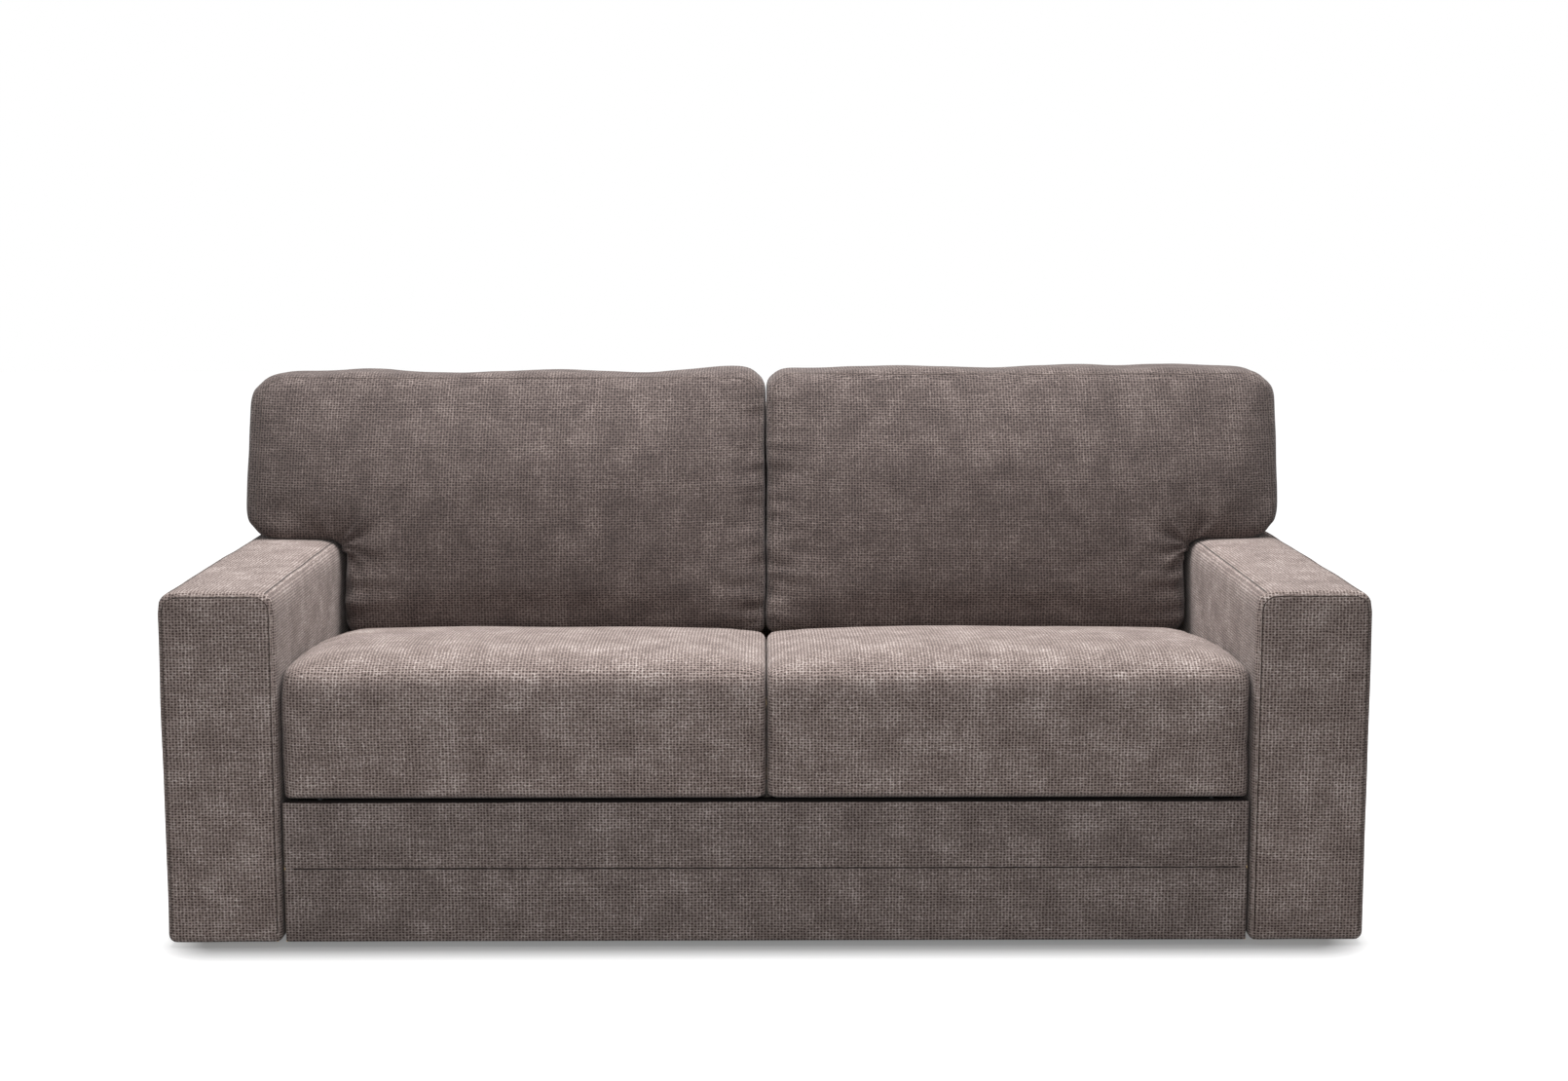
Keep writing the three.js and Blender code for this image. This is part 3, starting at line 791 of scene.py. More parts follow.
@dataclass(frozen=True)
class Stuffing:
    """The air pressure that blows a closed skin up as cloth.

    Attributes:
        cap: The furthest that a point may move, in metres.
        pressure: The pressure inside.
        stretch: How much the cloth resists being stretched.
        bend: How much it resists being bent.
        frames: How many steps are simulated.
        rounds: How often each lift is evened out with its neighbours'.
    """

    cap: float
    pressure: float = 4.0
    stretch: float = 18.0
    bend: float = 0.6
    frames: int = 20
    rounds: int = 8

    def fill(self, piece: Piece) -> None:
        """Blow the piece up, and let each point move only outwards, evenly and up to the cap.

        Args:
            piece: The closed skin.
        """
        rest = [(vert.co.copy(), vert.normal.copy()) for vert in piece.data.vertices]
        modifier = piece.modifiers.new("stuffing", "CLOTH")
        settings = modifier.settings
        settings.quality = 4
        settings.use_pressure = True
        settings.uniform_pressure_force = self.pressure
        settings.effector_weights.gravity = 0.0
        settings.tension_stiffness = settings.compression_stiffness = self.stretch
        settings.bending_stiffness = self.bend
        modifier.point_cache.frame_start = 1
        modifier.point_cache.frame_end = self.frames
        scene = bpy.context.scene
        for frame in range(1, self.frames + 1):
            scene.frame_set(frame)
        keep_modifiers(piece)
        scene.frame_set(1)
        lifts = [
            min(self.cap, max(0.0, (vert.co - start).dot(normal)))
            for vert, (start, normal) in zip(piece.data.vertices, rest)
        ]
        lifts = self.evened(lifts, [edge.vertices[:] for edge in piece.data.edges])
        for vert, (start, normal), lift in zip(piece.data.vertices, rest, lifts):
            vert.co = start + normal * lift
        relax(piece, 2, 0.4)

    def evened(self, lifts: list[float], edges: Sequence[tuple[int, int]]) -> list[float]:
        """Average each lift with its neighbours' a few times.

        Args:
            lifts: One lift for each vertex.
            edges: The vertices that each edge joins.

        Returns:
            The lifts, smoother.
        """
        for _ in range(self.rounds):
            sums, counts = list(lifts), [1] * len(lifts)
            for first, second in edges:
                sums[first] += lifts[second]
                sums[second] += lifts[first]
                counts[first] += 1
                counts[second] += 1
            lifts = [total / count for total, count in zip(sums, counts)]
        return lifts


def move_points(piece: Piece, rule: Callable[[Vector, Vector], Vector]) -> None:
    """Move every point of a piece.

    Args:
        piece: The piece.
        rule: Gives the new place from the place and the normal.
    """
    normals = [vert.normal.copy() for vert in piece.data.vertices]
    for vert, normal in zip(piece.data.vertices, normals):
        vert.co = rule(vert.co, normal)
    piece.data.update()


def lay_weave(piece: Piece) -> None:
    """Give a fabric piece a UV map in metres that follows the cloth, face by face.

    Args:
        piece: The piece.
    """
    mesh = piece.data
    uvs = (mesh.uv_layers.get(WEAVE) or mesh.uv_layers.new(name=WEAVE)).data
    for face in mesh.polygons:
        nx, ny, nz = (abs(part) for part in face.normal)
        for loop in face.loop_indices:
            x, y, z = mesh.vertices[mesh.loops[loop].vertex_index].co
            if nx > ny and nx > nz:
                uvs[loop].uv = (y, z)
            elif ny >= nz:
                uvs[loop].uv = (x, z)
            else:
                uvs[loop].uv = (x, y)


def stand_for(piece: Piece, body: Body, finish: Finish, *nodes: str) -> None:
    """Let a piece ride on its body and stand for its CAD nodes.

    Args:
        piece: The piece.
        body: The body that it rides on.
        finish: Its finish; not used.
        nodes: The CAD nodes that it replaces, if any.
    """
    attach(piece, body.value)
    if nodes:
        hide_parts(*nodes)
    LOG.info("%s rides on %s, %d faces", piece.name, body.value, len(piece.data.polygons))


@dataclass
class SeamCord:
    """The doubled fabric edge along a seam, laid on a piece's surface.

    Attributes:
        name: The cord's name.
        radius: Half its thickness.
        sink: How deep its middle lies under the surface.
        finish: Its material.
        body: The body that it rides on.
        stride: How far a point that misses the piece is moved inwards at each try.
        tries: How often it is moved before it is left out.
    """

    name: str
    radius: float
    sink: float
    # By default the cord's dark finish paints the shade along its seam.
    finish: SeamShadeFinish = SEAM_EDGE_PAINTED_SHADE
    body: Body = Body.SOFA
    stride: float = 4 * MM
    tries: int = 16

    def lay(self, carrier: Piece, points: Iterable[Vector], direction: Vector, closed: bool = False) -> None:
        """Drop points onto the carrier and run the cord through them.

        A point that misses is moved inwards, two strides past its first hit, so that it lands on the face.

        Args:
            carrier: The padded piece.
            points: Places outside the carrier.
            direction: The way in which they drop.
            closed: Whether the cord meets its own start.
        """
        tree = BVHTree.FromPolygons(
            [vert.co for vert in carrier.data.vertices], [face.vertices[:] for face in carrier.data.polygons]
        )
        middle = sum((vert.co for vert in carrier.data.vertices), Vector()) / len(carrier.data.vertices)
        landed = []
        for point in points:
            inwards = middle - point
            inwards = (inwards - direction * inwards.dot(direction)).normalized()
            places = [point + inwards * (self.stride * step) for step in range(self.tries)]
            first = next((i for i, place in enumerate(places) if tree.ray_cast(place, direction)[0]), None)
            if first is None:
                continue
            chosen = places[first + 2 if 0 < first < self.tries - 2 else first]
            hit, normal, _, _ = tree.ray_cast(chosen, direction)
            if hit is not None:
                landed.append(hit - normal * self.sink)
        self.run_through(landed, closed)

    def run_through(self, places: Sequence[Vector], closed: bool) -> None:
        """Build the cord through places that are already on the surface.

        Args:
            places: The places, in order.
            closed: Whether the cord meets its own start.
        """
        curve = bpy.data.curves.new(self.name, "CURVE")
        curve.dimensions = "3D"
        curve.bevel_depth = self.radius
        curve.bevel_resolution = 2
        curve.use_fill_caps = True
        spline = curve.splines.new("POLY")
        spline.points.add(len(places) - 1)
        for target, place in zip(spline.points, places):
            target.co = (place.x, place.y, place.z, 1.0)
        spline.use_cyclic_u = closed
        source = bpy.data.objects.new(self.name + "_line", curve)
        bpy.context.scene.collection.objects.link(source)
        mesh = evaluated_mesh(source)
        bpy.data.objects.remove(source)
        cord = bpy.data.objects.new(self.name, mesh)
        bpy.context.scene.collection.objects.link(cord)
        mesh.materials.clear()
        mesh.materials.append(self.finish.material())
        mesh.shade_smooth()
        stand_for(cord, self.body, self.finish)


def along(corners: Sequence[Vector], spacing: float, radius: float, closed: bool = False) -> list[Vector]:
    """Walk a path with round corners.

    Args:
        corners: The path's corners.
        spacing: The distance between points.
        radius: The corner radius.
        closed: Whether the path returns to its start.

    Returns:
        The points in order.
    """
    count, parts = len(corners), 6
    line: list[Vector] = []
    for i, corner in enumerate(corners):
        if not closed and i in (0, count - 1):
            line.append(corner.copy())
            continue
        start = corner + (corners[i - 1] - corner).normalized() * radius
        stop = corner + (corners[(i + 1) % count] - corner).normalized() * radius
        for share in (step / parts for step in range(parts + 1)):
            line.append(start.lerp(corner, share).lerp(corner.lerp(stop, share), share))
    if closed:
        line.append(line[0].copy())
    walked: list[Vector] = []
    for first, second in zip(line, line[1:]):
        pieces = max(1, math.ceil((second - first).length / spacing))
        walked.extend(first.lerp(second, k / pieces) for k in range(pieces))
    if not closed:
        walked.append(line[-1].copy())
    return walked


# The sofa's upholstered parts


class PairedPart:
    """A part of the sofa that is built once on each side."""

    def build(self) -> None:
        """Build both sides."""
        for side in Side:
            self.build_side(side)

    def build_side(self, side: Side) -> None:
        """Build one side; each part has its own.

        Args:
            side: Which side.
        """
        raise NotImplementedError


@dataclass
class ArmCovers(PairedPart):
    """Square padded arms, each with a seamed front face and seams along its top edges.

    Attributes:
        edge_radius: The radius of the padded edges.
        corner_radius: The radius of the top corners, as seen from the front.
        spacing: The distance between the cover's loops.
        wall: How thick the padded cover is.
        crown: How far the padding lifts the middle of the faces.
        outer_fill: How far the padding stands out at the outer side.
        top_fill: How far it stands out at the top.
        ripple_mm: How high the cloth ripples.
        seam_inset: How far the front seam runs inside the front face's outline.
        seam_depth: How deep its groove is.
        seam_groove: How wide its groove is.
    """

    edge_radius: float = 15 * MM
    corner_radius: float = 28 * MM
    spacing: float = 20 * MM
    wall: float = 6 * MM
    crown: float = 2.5 * MM
    outer_fill: float = 4 * MM
    top_fill: float = 6 * MM
    ripple_mm: float = 1.3
    seam_inset: float = 8.5 * MM
    seam_depth: float = 0.9 * MM
    seam_groove: float = 3 * MM

    def build_side(self, side: Side) -> None:
        """Build one arm cover, open at its sole, with its seams.

        Args:
            side: Which arm.
        """
        node = f"arm_cover_{side.word}"
        low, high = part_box(node)
        bm = bmesh.new()
        foot = low - Vector((0, 0, self.edge_radius * 0.25))
        verts = RoundedBlock(foot, high, self.edge_radius, self.spacing).add_to(bm)
        for x, out in ((low.x, -1), (high.x, 1)):
            turn_corner(verts, (x, high.z), (out, 1), self.corner_radius, self.edge_radius)
        sole_top = low.z + 0.5 * MM
        sole = [face for face in bm.faces if all(vert.co.z < sole_top for vert in face.verts)]
        bmesh.ops.delete(bm, geom=sole, context="FACES")
        bmesh.ops.recalc_face_normals(bm, faces=bm.faces)
        cover = finished_piece(node + "_upholstery", bm, CHENILLE)
        middle = (low + high) / 2
        half = (high - low) / 2

        def pad(place: Vector, normal: Vector) -> Vector:
            """Lift the middle of each face a little, fill the arm out, and let the cloth ripple.

            Args:
                place: A point of the cloth.
                normal: Its normal.

            Returns:
                Its new place.
            """
            shares = [1 - min(1.0, abs(place[i] - middle[i]) / half[i]) ** 4 for i in range(3)]
            lift = sum(
                self.crown * shares[i] * shares[j] * abs(normal[facing])
                for i, j, facing in ((0, 2, 1), (1, 2, 0), (0, 1, 2))
            )
            lift += ripple(place, (9, 9, 9), self.ripple_mm, (side.value * 3, 0, 0)) - 0.2 * self.crown
            moved = place + normal * lift
            outwards = (place.x - middle.x) / half.x * side.value
            upwards = (place.z - low.z) / (high.z - low.z) * 2 - 1
            moved.x += side.value * self.outer_fill * smooth_step(outwards)
            moved.z += self.top_fill * smooth_step(upwards)
            if normal.y < -0.6:
                border = min(place.x - low.x, high.x - place.x, high.z - place.z)
                moved.y += self.seam_depth * bell(border - self.seam_inset, self.seam_groove)
            return moved

        move_points(cover, pad)
        apply_modifier(cover, "wall", "SOLIDIFY", thickness=self.wall, offset=-1.0)
        lay_weave(cover)
        stand_for(cover, Body.SOFA, CHENILLE, node)
        self.sew(side, cover, low, high)

    def sew(self, side: Side, cover: Piece, low: Vector, high: Vector) -> None:
        """Lay the front seam and the seams along both top edges.

        Args:
            side: Which arm.
            cover: The arm's padded cover.
            low: The cover's lowest corner.
            high: Its highest corner.
        """
        left = low.x + self.seam_inset + min(0, side.value) * self.outer_fill
        right = high.x - self.seam_inset + max(0, side.value) * self.outer_fill
        foot, top = low.z + 14 * MM, high.z - self.seam_inset + self.top_fill
        outline = ((left, foot), (left, top), (right, top), (right, foot))
        corners = [Vector((x, low.y - CLEAR, z)) for x, z in outline]
        front = SeamCord(f"arm_front_seam_{side.word}", radius=1.1 * MM, sink=0.5 * MM)
        front.lay(cover, along(corners, spacing=7 * MM, radius=26 * MM), BACKWARDS)
        inner, outer = side.across(low, high)
        for word, edge, sign in (("inner", inner, side.value), ("outer", outer, -side.value)):
            x = edge + sign * (self.corner_radius * 0.55)
            run = [Vector((x, y, high.z + CLEAR / 2)) for y in (low.y + 12 * MM, high.y - 14 * MM)]
            top_seam = SeamCord(f"arm_{word}_top_seam_{side.word}", radius=1.3 * MM, sink=0.6 * MM)
            top_seam.lay(cover, along(run, spacing=14 * MM, radius=1 * MM), DOWN)


@dataclass
class SofaBack:
    """The upholstered back behind the cushions: a sloped wedge between the arms and a band over them.

    Attributes:
        voxel: The size of the skin's faces before its subdivision.
        top_depth: How deep the back is at its top.
        foot_depth: How deep it is below the wedge.
        lap: How far the wedge's cover laps onto the arms before it is pressed against them.
        ripple_mm: How high the cloth ripples.
        seam_inset: How far the outside back's seam runs inside its outline.
    """

    voxel: float = 11 * MM
    top_depth: float = 88 * MM
    foot_depth: float = 32 * MM
    lap: float = 4 * MM
    ripple_mm: float = 1.6
    seam_inset: float = 13 * MM

    def build(self) -> None:
        """Round and pad the outer form of the CAD cover."""
        low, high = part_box("back_cover")
        arm_low, arm_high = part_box("arm_cover_right")
        arm_inside, arm_top = arm_low.x, arm_high.z
        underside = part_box("back_frame")[0].z - 8 * MM
        slope_foot, slope_head, foot_y = low.y, high.y - self.top_depth, high.y - self.foot_depth
        head = [(high.y, high.z), (slope_head, high.z)]
        wedge = [(high.y, low.z), *head, (slope_foot, underside), (foot_y, underside), (foot_y, low.z)]
        band_z = arm_top + 1 * MM
        share = (band_z - underside) / (high.z - underside)
        band = [(high.y, band_z), *head, (slope_foot + (slope_head - slope_foot) * share, band_z)]
        bm = bmesh.new()
        self.add_prism(bm, wedge, arm_inside + self.lap)
        self.add_prism(bm, band, high.x)
        cover = finished_piece("back_upholstery", bm, CHENILLE)
        remesh(cover, self.voxel)
        relax(cover, 3)

        def soften(place: Vector, normal: Vector) -> Vector:
            """Let the cloth ripple a little between its fixings, and press it against the arms.

            Args:
                place: A point of the cloth.
                normal: Its normal.

            Returns:
                Its new place.
            """
            moved = place + normal * (ripple(place, (7, 7, 7), self.ripple_mm, (0, 0, 0)) - 0.6 * MM)
            if moved.z < arm_top - 2 * MM:
                reach = arm_inside - 0.3 * MM
                moved.x = min(max(moved.x, -reach), reach)
            elif abs(moved.x) > arm_inside:
                moved.z = max(moved.z, arm_top + 0.5 * MM)
            return moved

        move_points(cover, soften)
        subdivide(cover)
        lay_weave(cover)
        stand_for(cover, Body.SOFA, CHENILLE, "back_cover")
        x, foot, top = high.x - self.seam_inset, arm_top + 12 * MM, high.z - self.seam_inset
        outline = ((-x, foot), (-x, top), (x, top), (x, foot))
        corners = [Vector((x, high.y + CLEAR, z)) for x, z in outline]
        rim = SeamCord("outside_back_seam", radius=1.6 * MM, sink=0.8 * MM)
        rim.lay(cover, along(corners, spacing=14 * MM, radius=12 * MM), FORWARDS)

    def add_prism(self, bm: Mesh, profile: Sequence[tuple[float, float]], half: float) -> None:
        """Run a side profile across the sofa.

        Args:
            bm: The mesh that receives it.
            profile: Its corners as Y and Z.
            half: Half its width.
        """
        face = bm.faces.new([bm.verts.new((-half, y, z)) for y, z in profile])
        grown = bmesh.ops.extrude_face_region(bm, geom=[face])
        moved = [item for item in grown["geom"] if isinstance(item, Vert)]
        bmesh.ops.translate(bm, verts=moved, vec=(2 * half, 0, 0))
        bmesh.ops.recalc_face_normals(bm, faces=bm.faces)


@dataclass
class FrontPanel:
    """The padded panel under the seat, in two lengths of cloth sewn together along one level seam.

    Attributes:
        seam_height: The height of the seam.
        seam_gap: How far each length of cloth reaches past the seam.
        edge_radius: The radius of each length's rolled edges.
        set_back: How far the cloth starts behind the CAD cover's front.
        wrap: How thick the cloth is where it wraps over the platform.
        pull: How deep the seam draws the cloth in.
        pull_reach: How far from the seam it does.
        pucker_mm: How uneven that pull is.
        ripple_mm: How high the cloth ripples.
    """

    seam_height: float = 126 * MM
    seam_gap: float = 0.35 * MM
    edge_radius: float = 4.5 * MM
    set_back: float = 4 * MM
    wrap: float = 1.8 * MM
    pull: float = 0.9 * MM
    pull_reach: float = 12 * MM
    pucker_mm: float = 1.3
    ripple_mm: float = 1.1

    def build(self) -> None:
        """Build the panel's cover in front of the platform, the flap over it, and the seam."""
        low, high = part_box("front_panel_cover")
        plate_low, plate_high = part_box("knee_platform")
        start, behind = low.y + self.set_back, plate_low.y - 0.4 * MM
        bm = bmesh.new()
        lengths = (low.z, self.seam_height + self.seam_gap), (self.seam_height - self.seam_gap, high.z)
        for bottom, top in lengths:
            near, far = Vector((low.x, start, bottom)), Vector((high.x, behind, top))
            RoundedBlock(near, far, self.edge_radius, 8 * MM).add_to(bm)
        wrap_top = plate_high.z + 2.1 * MM
        near = Vector((-plate_high.x, start, wrap_top - self.wrap))
        far = Vector((plate_high.x, plate_high.y, wrap_top))
        RoundedBlock(near, far, 0.8 * MM, 60 * MM).add_to(bm)
        # The panel's cloth is the darker copy of the chenille, which paints shade on it.
        cover = finished_piece("front_panel_upholstery", bm, PANEL_CHENILLE_PAINTED_SHADE)

        def sew(place: Vector, normal: Vector) -> Vector:
            """Draw the front of the cloth in along the seam and let it ripple between its fixings.

            Args:
                place: A point of the cloth.
                normal: Its normal.

            Returns:
                Its new place.
            """
            if normal.y > 0.5 or place.y > start + 9 * MM:
                return place
            pucker = self.pull + ripple(place, (75, 0, 14), self.pucker_mm, (0, 0, 0))
            pucker *= bell(place.z - self.seam_height, self.pull_reach)
            lift = pucker + ripple(place, (7, 0, 9), self.ripple_mm, (0, 3, 0)) + 0.3 * MM
            return place + BACKWARDS * lift * abs(normal.y)

        move_points(cover, sew)
        # The top faces wear the black lining, which paints the shade in the gap under the seat cushions.
        cover.data.materials.append(LINING_PAINTED_GAP_SHADE.material())
        for face in cover.data.polygons:
            if face.normal.z > 0.6 and face.center.z > high.z - 3 * MM:
                face.material_index = 1
        lay_weave(cover)
        stand_for(cover, Body.KNEE, PANEL_CHENILLE_PAINTED_SHADE, "front_panel_cover")
        ends = [Vector((x, low.y - CLEAR, self.seam_height)) for x in (low.x + 15 * MM, high.x - 15 * MM)]
        # Its very dark cord paints the shade deep in the seam's groove.
        seam = SeamCord("front_panel_seam", 2.0 * MM, sink=0.4 * MM, finish=SEAM_FOLD_PAINTED_SHADE, body=Body.KNEE)
        seam.lay(cover, along(ends, spacing=9 * MM, radius=1 * MM), BACKWARDS)


@dataclass
class SeatCushions(PairedPart):
    """Two boxed seat cushions: thick, softly crowned, with a full round front edge that rolls under.

    Attributes:
        stuffing: What blows the skin up.
        voxel: The size of the skin's faces before its subdivision.
        shrink: How much smaller the form starts.
        edge_radius: The radius of the padded edges.
        crown: How far the middle of the top swells.
        foot_drop: How far the top falls to the back.
        front_drop: How far its front corners hang.
        top_sink: How far the whole top sinks.
        rear_rise: How far the seam lifts the rear top edge.
        lip_depth: How far back the lip in front of the platform reaches.
        lip_radius: How far it reaches from the fold's axis, so that it clears the panel.
        lip_corner: The radius of its lower corners.
        fold_depth: How far the fold's axis lies behind the cushion's front.
        belly: How far the front may bulge.
        rear_reach: How far the rear may bulge.
    """

    stuffing: Stuffing = Stuffing(10 * MM)
    voxel: float = 9 * MM
    shrink: float = 5 * MM
    edge_radius: float = 38 * MM
    crown: float = 10 * MM
    foot_drop: float = 42 * MM
    front_drop: float = 5 * MM
    top_sink: float = 6 * MM
    rear_rise: float = 11 * MM
    lip_depth: float = 37 * MM
    lip_radius: float = 34 * MM
    lip_corner: float = 15 * MM
    fold_depth: float = 30 * MM
    belly: float = 10 * MM
    rear_reach: float = 8 * MM

    def build_side(self, side: Side) -> None:
        """Build one seat cushion.

        Args:
            side: Which seat.
        """
        node = f"seat_cushion_{side.word}"
        low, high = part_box(node)
        plate_low, plate_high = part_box("foot_platform")
        inset = Vector((0.0, self.shrink * 0.6, self.shrink))
        start, stop = low + inset, high - inset
        start.z = low.z - self.edge_radius
        bm = bmesh.new()
        RoundedBlock(start, stop, self.edge_radius, 30 * MM).add_to(bm)
        cushion = finished_piece(node + "_upholstery", bm, CHENILLE)
        middle = (low + high) / 2
        half = (high - low) / 2
        inner, outer = side.across(low, high)

        def form(place: Vector, normal: Vector) -> Vector:
            """Crown the top, slope it down to the back and sharpen the corners between its panels.

            Args:
                place: A point of the cloth.
                normal: Its normal.

            Returns:
                Its new place.
            """
            share = (place.y - low.y) / (high.y - low.y)
            level = (place.z - low.z) / (high.z - low.z)
            across = 1 - abs((place.x - middle.x) / half.x) ** 3.4
            fore = 1 - abs((place.y - middle.y) / half.y) ** 3
            swell = self.crown * across * fore
            sink = self.foot_drop * share * share
            hang = self.front_drop * (1 - across) * smooth_step(1 - share * 3)
            beside = smooth_step(1 - (half.x - abs(place.x - middle.x)) / (80 * MM))
            crisp = tightened(place.z, stop.z, self.edge_radius, 1 + 0.6 * beside) - place.z
            rise = self.rear_rise * smooth_step((place.y - stop.y + 42 * MM) / (34 * MM))
            top = smooth_step((level - 0.4) / 0.6)
            moved = place + Vector((0, 0, crisp + top * (swell - sink - hang - self.top_sink + rise)))
            moved.x = tightened(moved.x, inner, self.edge_radius, 1.9)
            moved.x = tightened(moved.x, outer, self.edge_radius, 1.5)
            return moved

        move_points(cushion, form)
        remesh(cushion, self.voxel)
        relax(cushion, 2)
        self.stuffing.fill(cushion)
        subdivide(cushion)
        seed = Vector((side.value * 11.0, 2.0, 5.0))
        fold = Vector((0.0, low.y + self.fold_depth, (plate_low.z + plate_high.z) / 2))
        lip_end = low.y + self.lip_depth

        def settle(place: Vector, normal: Vector) -> Vector:
            """Wrinkle the cloth near its seams, set it down on the platform and keep it in its room.

            Args:
                place: A point of the cloth.
                normal: Its normal.

            Returns:
                Its new place.
            """
            low_edge = bell(place.z - low.z, 42 * MM) * smooth_step(-normal.y)
            side_edge = bell(half.x - abs(place.x - middle.x), 30 * MM)
            lift = ripple(place, (6, 6, 6), 2.2, seed)
            lift += ripple(place, (42, 0, 12), 2.0, seed + Vector((0, 1, 0))) * low_edge
            lift += ripple(place, (0, 30, 34), 1.6, seed + Vector((1, 0, 0))) * side_edge
            moved = place + normal * lift
            base = plate_high.z + 0.6 * MM
            if moved.y <= lip_end - 1 * MM:
                from_fold = min(abs(moved.y - fold.y), self.lip_radius)
                base = fold.z - math.sqrt(self.lip_radius**2 - from_fold**2)
            moved.z = max(moved.z, base)
            belly = smooth_step((moved.z - low.z - 55 * MM) / (50 * MM))
            belly *= smooth_step((high.z - moved.z) / (70 * MM))
            moved.y -= 5 * MM * belly * smooth_step(-normal.y)
            rear = high.y + self.rear_reach
            moved.y = tightened(moved.y, rear, 40 * MM, 1.6)
            moved.y = min(max(moved.y, low.y - 1 * MM - self.belly * belly), rear)
            moved.x = tightened(moved.x, inner - side.value * 2 * MM, 32 * MM, 1.9)
            spare = 1.3 * MM
            if place.y < lip_end - 6 * MM:
                turn = min(self.lip_corner, max(0.0, base + self.lip_corner - moved.z))
                spare -= self.lip_corner - math.sqrt(self.lip_corner**2 - turn**2)
            moved.x = min(max(moved.x, low.x - spare), high.x + spare)
            return moved

        move_points(cushion, settle)
        lay_weave(cushion)
        stand_for(cushion, Body.FOOT, CHENILLE, node)


@dataclass(frozen=True)
class Slump:
    """What sets one back cushion apart from the other, as in the photograph.

    Attributes:
        sag: How far the top sags away from the inner corner.
        ear_foot: How far the foot of the ear stands out.
        ear_head: How much further its head does.
        ear_corner: The radius of the ear's top corner.
    """

    sag: float
    ear_foot: float
    ear_head: float
    ear_corner: float


SLUMPS = {
    Side.LEFT: Slump(7 * MM, 14 * MM, 4 * MM, 56 * MM),
    Side.RIGHT: Slump(-2 * MM, 2 * MM, 8 * MM, 46 * MM),
}


